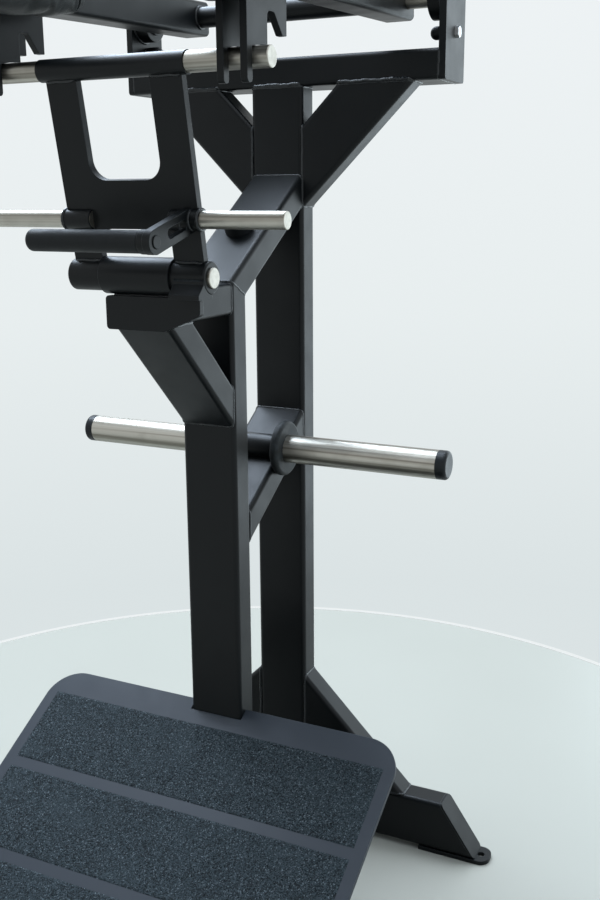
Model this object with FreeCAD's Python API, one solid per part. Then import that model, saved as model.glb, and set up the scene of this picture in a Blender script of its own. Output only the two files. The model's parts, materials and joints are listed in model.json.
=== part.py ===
"""Leverage squat machine: a welded frame, a swinging safety lock and a pair of loaded lever arms.

Lengths are millimetres. +Z is up and -Y is towards the lifter, who faces the machine. X = 0 is the
frame's plane of symmetry, and the origin is on the floor under the middle of the machine's depth.
"""

import FreeCAD, Part
import math
import os

V = FreeCAD.Vector
X_AXIS = V(1, 0, 0)
Y_AXIS = V(0, 1, 0)
Z_AXIS = V(0, 0, 1)
SIDES = {"left": -1, "right": 1}

# Steel section that the frame is welded from
section_wide = 100.0
section_deep = 50.0
section_wall = 4.0
section_corner = 8.0

# Clearances and working lengths
seat_gap = 0.3
running_gap = 0.05
overrun = 20.0
shortest_run = 0.005
dome_share = 0.9
full_round_share = 0.999

# Base and rear upright
foot_pad_thick = 8.0
foot_pad_length = 137.0
foot_pad_lip = 24.0
foot_pad_corner = 20.0
foot_bolt_radius = 7.0
foot_bolt_inset = 18.0
rear_leg_half = 406.0
rear_leg_end_lean = 68.5
leg_end_plate = 4.0
rear_brace_rise = 210.0
brace_angle = 45.0
front_foot_half = 300.0
front_foot_ahead = 700.0

# Front upright, neck and braces
upright_spacing = 212.0
knee_height = 1111.0
neck_angle = 32.5
lower_brace_height = 719.0

# Support arm under the lock
arm_drop = 3.0
arm_length = 178.0
under_brace_overhang = 7.0
front_plate_thick = 10.0
front_plate_left = 58.0
front_plate_right = 104.0
front_plate_height = 50.0
front_plate_drop = 6.0
front_plate_corner = 6.0
front_plate_bevel_wide = 62.0
front_plate_bevel_high = 26.0

# Head of the frame and pivot
head_rise = 316.0
head_half = 297.5
head_brace_drop = 205.0
side_plate_thick = 12.0
side_plate_corner = 6.0
side_plate_crown = 30.0
side_plate_above_pivot = 56.0
pivot_back = 40.0
pivot_rise = 82.0
shaft_radius = 15.0
housing_radius = 36.0
housing_length = 24.5
bush_radius = 22.0
cover_radius = 24.0
cover_thick = 4.0
cover_corner = 2.0

# Stop buffers on the side plates
buffer_radius = 11.0
buffer_length = 29.0
buffer_washer_thick = 2.5
buffer_back = 52.0
buffer_height = 28.0
bolt_radius = 5.0
bolt_head_flats = 17.0
bolt_head_thick = 7.0
bolt_grip = 9.0

# Plate pegs: storage pegs on the lower brace and load horns on the lever arms
peg_radius = 25.0
peg_wall = 4.0
peg_length = 281.0
horn_length = 230.0
cap_length = 18.0
cap_corner = 6.0
collar_radius = 49.0
collar_thick = 16.0
collar_corner = 6.0
hub_radius = 22.5
hub_wall = 5.0
peg_ahead = 94.5
peg_sink = 13.5

# Foot plate
plate_tilt = 29.5
plate_half = 350.0
plate_length = 557.0
plate_thick = 8.0
plate_corner = 60.0
plate_back_height = 358.6
plate_overlap = 18.5
plate_notch_gap = 1.0
strip_count = 3
strip_half = 329.5
strip_length = 142.5
strip_gap = 19.6
strip_start = 50.0
strip_thick = 1.2
strip_corner = 4.0
stringer_wide = 40.0
stringer_spread = 220.0
crossbar_half = 250.0
crossbar_drop = 64.0
stringer_start = 34.0
stringer_wall = 3.0
plug_thick = 3.0
plug_depth = 14.0
plug_corner = 1.5

# Safety lock
hook_drop = 91.5
lock_lean = 10.4
lock_plate_half = 111.0
lock_plate_thick = 12.0
window_half = 60.0
window_low = 138.5
window_corner = 27.0
arch_top = 69.5
arch_corner = 26.0
bar_radius = 14.0
bar_proud = 21.0
sleeve_radius = 15.5
sleeve_half = 120.0
barrel_radius = 27.5
barrel_half = 60.2
barrel_rise = 23.0
hinge_set_back = 3.0
hinge_pin_radius = 15.0
hinge_pin_proud = 4.0
hinge_bush_radius = 19.0
hinge_bush_length = 30.0
hinge_washer_radius = 21.0
hinge_washer_thick = 1.4
knuckle_radius = 23.5
knuckle_length = 56.0
knuckle_corner = 3.0
tab_start = 68.0
tab_front = 38.0
tab_lip = 6.5
tab_shoulder = 14.5
catch_height = 83.0
catch_offset = 3.5
catch_radius = 12.5
catch_half = 247.0
catch_corner = 1.5
boss_radius = 15.0
boss_outer = 114.0
boss_inner = 67.0

# Handle of the lock
link_inner = 88.0
link_thick = 12.0
link_length = 98.0
link_fall = 15.6
link_radius = 17.0
link_slot_start = 17.0
link_slot_end = 68.0
link_slot_wide = 14.5
handle_collar_thick = 10.0
handle_collar_radius = 16.5
handle_grip_radius = 15.5
handle_grip_end = 109.0
handle_grip_corner = 8.0
handle_core_radius = 9.0
handle_core_proud = 1.5

# Neck bumper
bumper_radius = 25.0
bumper_height = 24.68
bumper_corner = 6.0

# Lever arms
lever_wide = 56.0
lever_tall = 60.0
lever_wall = 4.0
lever_corner = 8.0
lever_side_gap = 44.0
lever_tail = 24.0
lever_front = 990.0
lever_slope = 2.4
lever_end_plate = 4.0
shaft_sleeve_radius = 18.0

# Hook plates under the lever arms
hook_thick = 10.0
hook_space = 24.0
tongue_thick = 13.5
tongue_drop = 32.0
finger_length = 42.0
notch_height = 46.0
notch_corner = 8.0
notch_mouth = 43.5
notch_crown = 20.0
heel_thick = 12.0
heel_rise = 20.0
heel_corner = 1.5

# Load horns, hand grips and shoulder pads on the lever
horn_place = 900.0
hand_grip_place = 470.0
hand_grip_height = 150.0
hand_post_radius = 10.0
hand_grip_radius = 16.0
hand_grip_length = 125.0
pad_start = 405.0
pad_length = 435.0
pad_wide = 64.0
pad_top = 10.0
pad_depth = 60.0
pad_corner = 22.0
pad_edge = 8.0
pad_side_gap = 2.0
pad_bracket_thick = 6.0
pad_bracket_lift = 22.0
pad_bracket_inset = 14.0
pad_low_corner_wide_share = 0.8
pad_low_corner_deep_share = 0.6
pad_high_corner_wide_share = 0.4
pad_high_corner_deep_share = 0.3
pad_station_shares = [
    (0.0, 0.30, 0.34),
    (0.03, 0.62, 0.62),
    (0.09, 0.86, 0.82),
    (0.22, 1.0, 0.95),
    (0.50, 0.97, 1.0),
    (0.78, 1.0, 0.97),
    (0.91, 0.88, 0.84),
    (0.97, 0.64, 0.62),
    (1.0, 0.32, 0.34),
]

# Heights and depths that follow from the sizes above
ground_top = foot_pad_thick
leg_top = ground_top + section_wide
spine_top = ground_top + section_deep
reach = 3 * (knee_height + head_rise + lever_front)
head_height = knee_height + head_rise
head_top = head_height + section_deep
pivot_z = head_top + pivot_rise
slope = math.radians(lever_slope)
lever_centre = head_half - housing_length - lever_side_gap - lever_wide / 2
bar_half = lever_centre + hook_space / 2 + hook_thick + bar_proud
lever_reach = (lever_front + lever_end_plate) * math.cos(slope) + lever_tall / 2 * math.sin(slope)
face_y = (lever_reach - pivot_back - section_wide) / 2
pivot_y = face_y + pivot_back
front_back_y = face_y - upright_spacing
front_face_y = front_back_y - section_deep
arm_tip_y = front_face_y - arm_length
arm_top_z = knee_height - arm_drop
arm_low_z = arm_top_z - section_deep
hinge_y = arm_tip_y + hinge_set_back
hinge_z = arm_top_z + barrel_rise
lean = math.radians(lock_lean)
arm_underside_at_hinge = pivot_z - (pivot_y - hinge_y) * math.tan(slope) - lever_tall / 2 / math.cos(slope)
lock_rise = arm_underside_at_hinge - hook_drop - hinge_z
lock_radius = lock_rise / (math.cos(lean) + math.sin(lean) * math.tan(slope))
bar_y = hinge_y - lock_radius * math.sin(lean)
bar_z = hinge_z + lock_radius * math.cos(lean)
neck_rise = math.tan(math.radians(neck_angle))
neck_along = V(0, math.cos(math.radians(neck_angle)), math.sin(math.radians(neck_angle)))
neck_normal = V(0, -neck_along.z, neck_along.y)
hinge_over_neck = V(0, hinge_y - front_face_y, hinge_z - knee_height).dot(neck_normal)
landing_share = (bumper_height + seat_gap + sleeve_radius - hinge_over_neck) / lock_radius
lock_swing = math.degrees(math.acos(landing_share)) + lock_lean - neck_angle
lock_up = V(0, -math.sin(lean), math.cos(lean))
lock_front = V(0, -lock_up.z, lock_up.y)
knuckle_start = barrel_half + hinge_washer_thick + 2 * running_gap
knuckle_end = knuckle_start + knuckle_length
plate_down = V(0, -math.cos(math.radians(plate_tilt)), -math.sin(math.radians(plate_tilt)))
plate_normal = V(0, plate_down.z, -plate_down.y)
plate_back = V(0, front_face_y + plate_overlap, plate_back_height)


def framed(shape, origin, x_dir, y_dir):
    """Moves a shape drawn at the origin so that its X and Y axes lie along x_dir and y_dir."""
    z_dir = x_dir.cross(y_dir)
    shape.Placement = FreeCAD.Placement(
        FreeCAD.Matrix(
            x_dir.x, y_dir.x, z_dir.x, origin.x,
            x_dir.y, y_dir.y, z_dir.y, origin.y,
            x_dir.z, y_dir.z, z_dir.z, origin.z,
            0, 0, 0, 1,
        )
    )
    return shape


def trim(shape, point, normal):
    """Removes what lies beyond the plane through point, on the side that normal points to."""
    helper = Z_AXIS if abs(normal.x) > abs(normal.z) else X_AXIS
    across = helper.cross(normal).normalize()
    block = Part.makeBox(reach, reach, reach, V(-reach / 2, -reach / 2, 0))
    return shape.cut(framed(block, point, across, V(normal).normalize().cross(across)))


def outline(points, radii):
    """Closed outline in the XY plane: straight runs between points, each corner rounded by its radius."""
    if not isinstance(radii, (list, tuple)):
        radii = [radii] * len(points)
    corners = [V(x, y, 0) for x, y in points]
    edges = []
    ends = []
    for i, corner in enumerate(corners):
        before = (corners[i - 1] - corner).normalize()
        after = (corners[(i + 1) % len(corners)] - corner).normalize()
        if radii[i] == 0:
            ends.append((corner, corner, None))
            continue
        half = before.getAngle(after) / 2
        inset = radii[i] / math.tan(half)
        middle = corner + (before + after).normalize() * (radii[i] / math.sin(half) - radii[i])
        ends.append((corner + before * inset, corner + after * inset, middle))
    for i, (start, end, middle) in enumerate(ends):
        if middle is not None:
            edges.append(Part.Arc(start, middle, end).toShape())
        following = ends[(i + 1) % len(ends)][0]
        if (following - end).Length > shortest_run:
            edges.append(Part.LineSegment(end, following).toShape())
    return Part.Wire(edges)


def slab(points, radii, thick):
    """Flat plate with the given outline, drawn at the origin with its thickness along Z."""
    return Part.Face(outline(points, radii)).extrude(V(0, 0, thick))


def box_points(low_x, high_x, low_y, high_y):
    """Corners of a rectangle, in order."""
    return [(low_x, low_y), (high_x, low_y), (high_x, high_y), (low_x, high_y)]


def side_slab(points, radii, low_x, thick):
    """Plate that stands in a YZ plane: points are (y, z), and it is thick along X from low_x."""
    return framed(slab(points, radii, thick), V(low_x, 0, 0), Y_AXIS, Z_AXIS)


def hollow_section(origin, along, across, length, wide, deep, wall, corner):
    """Rectangular hollow section from origin along a direction, with its wide side along across."""
    outer = slab(box_points(-wide / 2, wide / 2, -deep / 2, deep / 2), corner, length)
    inner_wide = wide / 2 - wall
    inner_deep = deep / 2 - wall
    inner = slab(box_points(-inner_wide, inner_wide, -inner_deep, inner_deep), corner - wall, length)
    return framed(outer.cut(inner), origin, across, along.cross(across))


def frame_tube(origin, along, across, length):
    """Length of the frame's own section, with its wide side along across."""
    return hollow_section(
        origin, along, across, length, section_wide, section_deep, section_wall, section_corner
    )


def square_tube(origin, length):
    """Level square tube from origin to the right."""
    return hollow_section(
        origin, X_AXIS, Y_AXIS, length, section_deep, section_deep, section_wall, section_corner
    )


def turned(points, radii, origin, axis):
    """Turned piece: points are (radius, distance along the axis from origin)."""
    shape = Part.Face(outline(points, radii)).revolve(V(0, 0, 0), Y_AXIS, 360)
    helper = Z_AXIS if abs(axis.x) > abs(axis.z) else X_AXIS
    across = axis.cross(helper).normalize()
    return framed(shape, origin, across, V(axis).normalize())


def ring(inner, outer, origin, axis, length):
    """Tube or washer with square ends."""
    points = [(inner, 0), (outer, 0), (outer, length), (inner, length)]
    return turned(points, 0, origin, axis)


def rod(radius, origin, axis, length):
    """Plain round bar."""
    return Part.makeCylinder(radius, length, origin, axis)


def rear_leg_envelope():
    """Outer end planes of the rear leg, as points and normals for each side."""
    for side in SIDES.values():
        yield V(side * rear_leg_half, 0, ground_top), V(side * section_wide, 0, rear_leg_end_lean)


def rear_leg():
    """Tube across the back of the base, its ends sloping outward to the floor."""
    centre = V(-rear_leg_half, face_y + section_deep / 2, ground_top + section_wide / 2)
    leg = frame_tube(centre, X_AXIS, Z_AXIS, 2 * rear_leg_half)
    for point, normal in rear_leg_envelope():
        inward = V(normal).normalize() * leg_end_plate
        leg = trim(leg, point - inward, normal)
    return leg


def rear_leg_end_plates():
    """Sloping plates that close the rear leg's ends."""
    bar = slab(
        box_points(-section_wide / 2, section_wide / 2, -section_deep / 2, section_deep / 2),
        section_corner,
        2 * rear_leg_half,
    )
    centre = V(-rear_leg_half, face_y + section_deep / 2, ground_top + section_wide / 2)
    bar = framed(bar, centre, Z_AXIS, X_AXIS.cross(Z_AXIS))
    plates = []
    for point, normal in rear_leg_envelope():
        outward = V(normal).normalize()
        plate = trim(bar, point, outward)
        plates.append(trim(plate, point - outward * leg_end_plate, V(0, 0, 0) - outward))
    return plates


def foot_pads(outer, middle_y):
    """Flat steel feet with an anchor hole in each lip: outer is where the leg above them ends."""
    pads = []
    for side in SIDES.values():
        end = outer + foot_pad_lip
        points = box_points(end - foot_pad_length, end, -section_deep / 2, section_deep / 2)
        pad = slab(points, [0, foot_pad_corner, foot_pad_corner, 0], foot_pad_thick)
        pad = pad.cut(rod(foot_bolt_radius, V(end - foot_bolt_inset, 0, 0), Z_AXIS, foot_pad_thick))
        if side < 0:
            pad = pad.mirror(V(0, 0, 0), X_AXIS)
        pad.translate(V(0, middle_y, 0))
        pads.append(pad)
    return pads


def rear_upright():
    """Tall upright from the rear leg to the head beam."""
    length = head_height - leg_top
    return frame_tube(V(0, face_y + section_deep / 2, leg_top), Z_AXIS, X_AXIS, length)


def corner_brace(side, meet_z, from_above):
    """Tube across a corner of the rear upright: its outer edge starts on the upright at meet_z.

    It falls away from the upright to the leg, or with from_above it rises away to the head beam.
    """
    angle = math.radians(brace_angle)
    rise = math.sin(angle) if from_above else -math.sin(angle)
    along = V(side * math.cos(angle), 0, rise)
    inward = V(-side * abs(rise), 0, math.cos(angle) if from_above else -math.cos(angle))
    start = V(side * section_wide / 2, face_y + section_deep / 2, meet_z)
    start = start + inward * (section_wide / 2) - along * (reach / 2)
    return frame_tube(start, along, inward, reach), V(-side, 0, 0)


def rear_brace(side):
    """Brace from the rear upright down to the leg."""
    brace, inward = corner_brace(side, leg_top + rear_brace_rise, False)
    brace = trim(brace, V(side * section_wide / 2, 0, 0), inward)
    return trim(brace, V(0, 0, leg_top), V(0, 0, -1))


def head_brace(side):
    """Brace from the rear upright up to the head beam."""
    brace, inward = corner_brace(side, head_height - head_brace_drop, True)
    brace = trim(brace, V(side * section_wide / 2, 0, 0), inward)
    return trim(brace, V(0, 0, head_height), Z_AXIS)


def base_spine():
    """Flat tube on the floor from the rear leg to the front foot."""
    length = front_foot_ahead - section_deep
    start = V(0, face_y, ground_top + section_deep / 2)
    return frame_tube(start, V(0, -1, 0), X_AXIS, length)


def front_foot_y():
    """Middle of the front cross foot."""
    return face_y - front_foot_ahead + section_deep / 2


def front_cross_foot():
    """Square tube across the front of the base."""
    start = V(-front_foot_half, front_foot_y(), ground_top + section_deep / 2)
    return square_tube(start, 2 * front_foot_half)


def front_foot_end_plates():
    """Plates that close the front cross foot."""
    plates = []
    half = section_deep / 2
    for side in SIDES.values():
        start = front_foot_half if side > 0 else -front_foot_half - leg_end_plate
        points = box_points(front_foot_y() - half, front_foot_y() + half, ground_top, spine_top)
        plates.append(side_slab(points, section_corner, start, leg_end_plate))
    return plates


def front_upright():
    """Upright between the tread and the knee, mitred at the top for the neck."""
    start = V(0, front_face_y + section_deep / 2, spine_top)
    upright = frame_tube(start, Z_AXIS, X_AXIS, knee_height)
    return trim(upright, *knee_mitre())


def knee_mitre():
    """Mitre plane of front upright and neck, as a point and a normal that points into the neck."""
    outer = V(0, front_face_y, knee_height)
    normal = (Z_AXIS + neck_along).normalize()
    return outer, normal


def neck():
    """Sloping tube from the knee up to the rear upright."""
    start = V(0, front_face_y, knee_height) - neck_normal * (section_deep / 2) - neck_along * section_wide
    tube = frame_tube(start, neck_along, X_AXIS, upright_spacing * 2 + section_wide * 2)
    point, normal = knee_mitre()
    tube = trim(tube, point, V(0, 0, 0) - normal)
    return trim(tube, V(0, face_y, 0), Y_AXIS)


def lower_brace():
    """Sloping tube between the uprights, coped on top round the storage pegs' hub."""
    top = V(0, front_back_y, lower_brace_height)
    start = top - neck_normal * (section_deep / 2) - neck_along * section_wide
    tube = frame_tube(start, neck_along, X_AXIS, upright_spacing * 2 + section_wide * 2)
    tube = trim(tube, V(0, front_back_y, 0), V(0, -1, 0))
    tube = trim(tube, V(0, face_y, 0), Y_AXIS)
    return tube.cut(rod(hub_radius, peg_axis() - X_AXIS * section_wide, X_AXIS, 2 * section_wide))


def support_arm():
    """Short level tube that carries the lock's hinge, coped at its end for the hinge barrel."""
    start = V(0, front_face_y, arm_top_z - section_deep / 2)
    tube = frame_tube(start, V(0, -1, 0), X_AXIS, arm_length)
    return tube.cut(rod(barrel_radius, V(-section_wide, hinge_y, hinge_z), X_AXIS, 2 * section_wide))


def under_brace():
    """Tube that props the support arm from the front upright, behind the front plate."""
    angle = math.radians(brace_angle)
    along = V(0, -math.cos(angle), math.sin(angle))
    upward = V(0, along.z, -along.y)
    tip = V(0, arm_tip_y, arm_low_z - under_brace_overhang)
    start = tip + upward * (section_deep / 2) - along * (2 * arm_length)
    tube = frame_tube(start, along, X_AXIS, 3 * arm_length)
    tube = trim(tube, V(0, front_face_y, 0), Y_AXIS)
    tube = trim(tube, V(0, 0, arm_low_z), Z_AXIS)
    return trim(tube, V(0, arm_tip_y, 0), V(0, -1, 0))


def front_plate():
    """Nose plate on the support arm, longer on the right, where the lock's stop tab rests on it."""
    low = arm_low_z - front_plate_drop
    points = [
        (-front_plate_left, low),
        (front_plate_right - front_plate_bevel_wide, low),
        (front_plate_right, low + front_plate_bevel_high),
        (front_plate_right, low + front_plate_height),
        (-front_plate_left, low + front_plate_height),
    ]
    plate = slab(points, front_plate_corner, front_plate_thick)
    return framed(plate, V(0, arm_tip_y, 0), X_AXIS, Z_AXIS)


def hinge_barrel():
    """Middle barrel of the lock's hinge, on the support arm."""
    start = V(-barrel_half, hinge_y, hinge_z)
    return ring(hinge_bush_radius, barrel_radius, start, X_AXIS, 2 * barrel_half)


def hinge_bushes():
    """Plain bushes that the hinge pin turns in, one at each end of the barrel."""
    bushes = []
    for side in SIDES.values():
        start = V(side * (barrel_half - hinge_bush_length), hinge_y, hinge_z)
        inner = hinge_pin_radius + running_gap
        bushes.append(ring(inner, hinge_bush_radius, start, V(side, 0, 0), hinge_bush_length))
    return bushes


def head_beam():
    """Flat tube across the top of the rear upright."""
    start = V(-head_half, face_y + section_wide / 2, head_height + section_deep / 2)
    return frame_tube(start, X_AXIS, Y_AXIS, 2 * head_half)


def side_plate(side):
    """Upright plate at the end of the head beam that carries the lever's bearing and stop buffer."""
    top = pivot_z + side_plate_above_pivot
    points = box_points(face_y, face_y + section_wide, head_height, top)
    radii = [side_plate_corner, side_plate_corner, side_plate_crown, side_plate_crown]
    low_x = head_half if side > 0 else -head_half - side_plate_thick
    plate = side_slab(points, radii, low_x, side_plate_thick)
    return plate.cut(rod(bolt_radius, buffer_centre(low_x), X_AXIS, side_plate_thick))


def buffer_centre(x):
    """Centre of a stop buffer's bolt, at the given x."""
    return V(x, face_y + buffer_back, head_top + buffer_height)


def bearing_housing(side):
    """Round housing inside a side plate, round the end of the lever's shaft."""
    start = V(side * head_half, pivot_y, pivot_z)
    points = [
        (bush_radius, 0), (housing_radius, 0), (housing_radius, housing_length), (bush_radius, housing_length)
    ]
    return turned(points, [0, 0, cover_corner, 0], start, V(-side, 0, 0))


def pivot_bushes():
    """Bushes in the housings that the lever's shaft turns in."""
    bushes = []
    for side in SIDES.values():
        start = V(side * (head_half - housing_length), pivot_y, pivot_z)
        bushes.append(ring(shaft_radius + running_gap, bush_radius, start, V(side, 0, 0), housing_length))
    return bushes


def bearing_covers():
    """Ring covers on the housings' inner ends, round the shaft, which keep the bushes in."""
    covers = []
    inner = shaft_radius + running_gap
    for side in SIDES.values():
        start = V(side * (head_half - housing_length), pivot_y, pivot_z)
        points = [(inner, 0), (cover_radius, 0), (cover_radius, cover_thick), (inner, cover_thick)]
        covers.append(turned(points, [0, 0, cover_corner, 0], start, V(-side, 0, 0)))
    return covers


def stop_buffers():
    """Domed rubber buffers inside the side plates, each bored for its bolt."""
    buffers = []
    for side in SIDES.values():
        start = buffer_centre(side * (head_half - buffer_washer_thick))
        points = [
            (bolt_radius, 0), (buffer_radius, 0), (buffer_radius, buffer_length), (0, buffer_length),
            (0, bolt_grip), (bolt_radius, bolt_grip),
        ]
        dome = turned(points, [0, 0, buffer_radius * dome_share, 0, 0, 0], start, V(-side, 0, 0))
        buffers.append(dome)
    return buffers


def buffer_washers():
    """Washers between the stop buffers and the side plates."""
    washers = []
    for side in SIDES.values():
        start = buffer_centre(side * head_half)
        washers.append(ring(bolt_radius, buffer_radius, start, V(-side, 0, 0), buffer_washer_thick))
    return washers


def buffer_bolts():
    """Hexagon bolts through the side plates into the stop buffers."""
    bolts = []
    head_radius = bolt_head_flats / 2 / math.cos(math.pi / 6)
    turns = [k * math.pi / 3 for k in range(6)]
    corners = [(head_radius * math.cos(turn), head_radius * math.sin(turn)) for turn in turns]
    for side in SIDES.values():
        face = side * (head_half + side_plate_thick)
        head_low = face if side > 0 else face - bolt_head_thick
        centre = buffer_centre(head_low)
        head = framed(slab(corners, 0, bolt_head_thick), centre, Y_AXIS, Z_AXIS)
        length = side_plate_thick + buffer_washer_thick + bolt_grip
        shank = rod(bolt_radius, buffer_centre(face), V(-side, 0, 0), length)
        bolts.append(head.fuse(shank).removeSplitter())
    return bolts


def landing():
    """Centre of the lock's bar when the lock lies back on the neck."""
    back = math.radians(lock_swing) - lean
    return V(0, hinge_y + lock_radius * math.sin(back), hinge_z + lock_radius * math.cos(back))


def neck_bumper():
    """Rubber bumper on the neck that the lock's bar comes to rest on."""
    base = landing() - neck_normal * (sleeve_radius + seat_gap + bumper_height)
    points = [(0, 0), (bumper_radius, 0), (bumper_radius, bumper_height), (0, bumper_height)]
    return turned(points, [0, 0, bumper_corner, 0], base, neck_normal)


def peg_axis():
    """Middle of the storage pegs' axis, sunk into the lower brace's top face."""
    y = face_y - peg_ahead
    top = lower_brace_height + (y - front_back_y) * neck_rise
    return V(0, y, top + hub_radius - peg_sink)


def peg_hub():
    """Hub tube across the lower brace, between the two collars."""
    start = peg_axis() - X_AXIS * (section_wide / 2)
    return ring(hub_radius - hub_wall, hub_radius, start, X_AXIS, section_wide)


def peg(origin, side, length):
    """Chromed tube that weight plates slide on."""
    return ring(peg_radius - peg_wall, peg_radius, origin, V(side, 0, 0), length)


def peg_collar(origin, side):
    """Thick round collar that the plates on a peg rest against."""
    points = [(0, 0), (collar_radius, 0), (collar_radius, collar_thick), (0, collar_thick)]
    return turned(points, [0, collar_corner, collar_corner, 0], origin, V(side, 0, 0))


def peg_cap(origin, side):
    """Plug of black plastic in the end of a peg."""
    stem = peg_radius - peg_wall
    points = [
        (0, -cap_length), (stem, -cap_length), (stem, 0), (peg_radius, 0), (peg_radius, cap_length),
        (0, cap_length),
    ]
    return turned(points, [0, 0, 0, 0, cap_corner, 0], origin, V(side, 0, 0))


def storage_set(side):
    """Collar, peg and cap of one storage peg."""
    collar_at = peg_axis() + X_AXIS * (side * section_wide / 2)
    peg_at = collar_at + X_AXIS * (side * collar_thick)
    cap_at = peg_at + X_AXIS * (side * peg_length)
    return peg_collar(collar_at, side), peg(peg_at, side, peg_length), peg_cap(cap_at, side)


def on_plate(across, down, lift):
    """Point given from the middle of the foot plate's back edge: sideways, down the slope and off it."""
    return plate_back + X_AXIS * across + plate_down * down + plate_normal * lift


def foot_plate():
    """Tilted tread plate, notched at the back round the front upright."""
    points = box_points(-plate_half, plate_half, 0, plate_length)
    plate = slab(points, plate_corner, plate_thick)
    plate = framed(plate, on_plate(0, 0, 0), X_AXIS, plate_down)
    gap = plate_notch_gap
    notch = Part.makeBox(
        section_wide + 2 * gap, reach, reach, V(-section_wide / 2 - gap, front_face_y - gap, 0)
    )
    return plate.cut(notch)


def grip_strips():
    """Gritty strips across the tread, laid on its face."""
    strips = []
    for k in range(strip_count):
        start = strip_start + k * (strip_length + strip_gap)
        points = box_points(-strip_half, strip_half, start, start + strip_length)
        strip = slab(points, strip_corner, strip_thick)
        strips.append(framed(strip, on_plate(0, 0, strip_thick), X_AXIS, plate_down))
    return strips


def crossbar():
    """Level square tube on the front upright that carries the plate's stringers."""
    start = V(-crossbar_half, front_face_y - section_deep / 2, crossbar_middle_z())
    return square_tube(start, 2 * crossbar_half)


def crossbar_middle_z():
    """Height of the crossbar's middle."""
    plate_at_upright = plate_back_height - plate_overlap * math.tan(math.radians(plate_tilt))
    return plate_at_upright - crossbar_drop - section_deep / 2


def crossbar_plugs():
    """Plastic plugs that close the crossbar's ends."""
    plugs = []
    inner = section_deep / 2 - section_wall
    for side in SIDES.values():
        end = side * crossbar_half
        origin = V(end, front_face_y - section_deep / 2, crossbar_middle_z())
        half = section_deep / 2
        face = slab(box_points(-half, half, -half, half), section_corner, plug_thick)
        stem = slab(box_points(-inner, inner, -inner, inner), section_corner - section_wall, plug_depth)
        plug = face.fuse(framed(stem, V(0, 0, -plug_depth), X_AXIS, Y_AXIS)).removeSplitter()
        rim = [edge for edge in plug.Edges if edge.CenterOfMass.z > plug_thick - shortest_run]
        plug = plug.makeFillet(plug_corner, rim)
        plugs.append(framed(plug, origin, Y_AXIS * side, Z_AXIS))
    return plugs


def stringers():
    """Sloping tubes under the tread, coped over the crossbar and cut level on the front foot."""
    tubes = []
    half = section_deep / 2
    crossbar_low = crossbar_middle_z() - half
    corner = V(-crossbar_half, front_face_y - section_deep, crossbar_low)
    saddle = Part.makeBox(2 * crossbar_half, section_deep, section_deep, corner)
    front_y = front_foot_y() - half
    for side in SIDES.values():
        start = on_plate(side * stringer_spread, stringer_start, -plate_thick - half)
        tube = hollow_section(
            start, plate_down, X_AXIS, plate_length,
            stringer_wide, section_deep, stringer_wall, section_corner,
        )
        tube = trim(tube, V(0, front_y, 0), V(0, -1, 0))
        corner = V(-front_foot_half, front_y - overrun, ground_top)
        foot = Part.makeBox(2 * front_foot_half, section_deep + overrun, section_deep, corner)
        tubes.append(tube.cut(foot).cut(saddle))
    return tubes


def lock_point(across, up, front):
    """Point of the lock: sideways, up its plate from the hinge axis, and off its middle plane."""
    return V(across, hinge_y, hinge_z) + lock_up * up + lock_front * front


def lock_plate():
    """Flame-cut plate between hinge and bar, with a window above and an arch below."""
    points = box_points(-lock_plate_half, lock_plate_half, 0, lock_radius)
    plate = slab(points, 0, lock_plate_thick)
    points = box_points(-window_half, window_half, window_low, lock_radius + overrun)
    window = slab(points, window_corner, lock_plate_thick)
    arch = slab(
        box_points(-knuckle_start, knuckle_start, -arch_top, arch_top), arch_corner, lock_plate_thick
    )
    points = box_points(-window_half, window_half, lock_radius - 2 * sleeve_radius, lock_radius)
    window_top = slab(points, 0, lock_plate_thick)
    plate = plate.cut(window).cut(window_top).cut(arch)
    plate = framed(plate, lock_point(0, 0, -lock_plate_thick / 2), X_AXIS, lock_up)
    plate = plate.cut(rod(sleeve_radius, lock_point(-bar_half, lock_radius, 0), X_AXIS, 2 * bar_half))
    plate = plate.cut(rod(knuckle_radius, lock_point(-bar_half, 0, 0), X_AXIS, 2 * bar_half))
    for side in SIDES.values():
        boss = rod(boss_radius, catch_point(side * boss_inner), V(side, 0, 0), bar_half)
        plate = plate.cut(boss)
    return plate.cut(link_blank())


def catch_point(across):
    """Point on the axis of the low catch pins."""
    return lock_point(across, catch_height, catch_offset)


def lock_bar():
    """Steel bar across the top of the lock, which the hook plates rest on."""
    start = lock_point(-bar_half, lock_radius, 0)
    points = [(0, 0), (bar_radius, 0), (bar_radius, 2 * bar_half), (0, 2 * bar_half)]
    return turned(points, [0, catch_corner, catch_corner, 0], start, X_AXIS)


def lock_bar_sleeve():
    """Black tube round the middle of the lock's bar."""
    start = lock_point(-sleeve_half, lock_radius, 0)
    return ring(bar_radius, sleeve_radius, start, X_AXIS, 2 * sleeve_half)


def knuckle(side):
    """Outer barrel of the hinge, fixed to the hinge pin."""
    start = lock_point(side * knuckle_start, 0, 0)
    points = [
        (hinge_pin_radius, 0), (knuckle_radius, 0), (knuckle_radius, knuckle_length),
        (hinge_pin_radius, knuckle_length),
    ]
    return turned(points, [0, 0, knuckle_corner, 0], start, V(side, 0, 0))


def hinge_pin():
    """Steel pin through barrel and knuckles."""
    half = knuckle_end + hinge_pin_proud
    points = [(0, 0), (hinge_pin_radius, 0), (hinge_pin_radius, 2 * half), (0, 2 * half)]
    return turned(points, [0, catch_corner, catch_corner, 0], lock_point(-half, 0, 0), X_AXIS)


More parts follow.
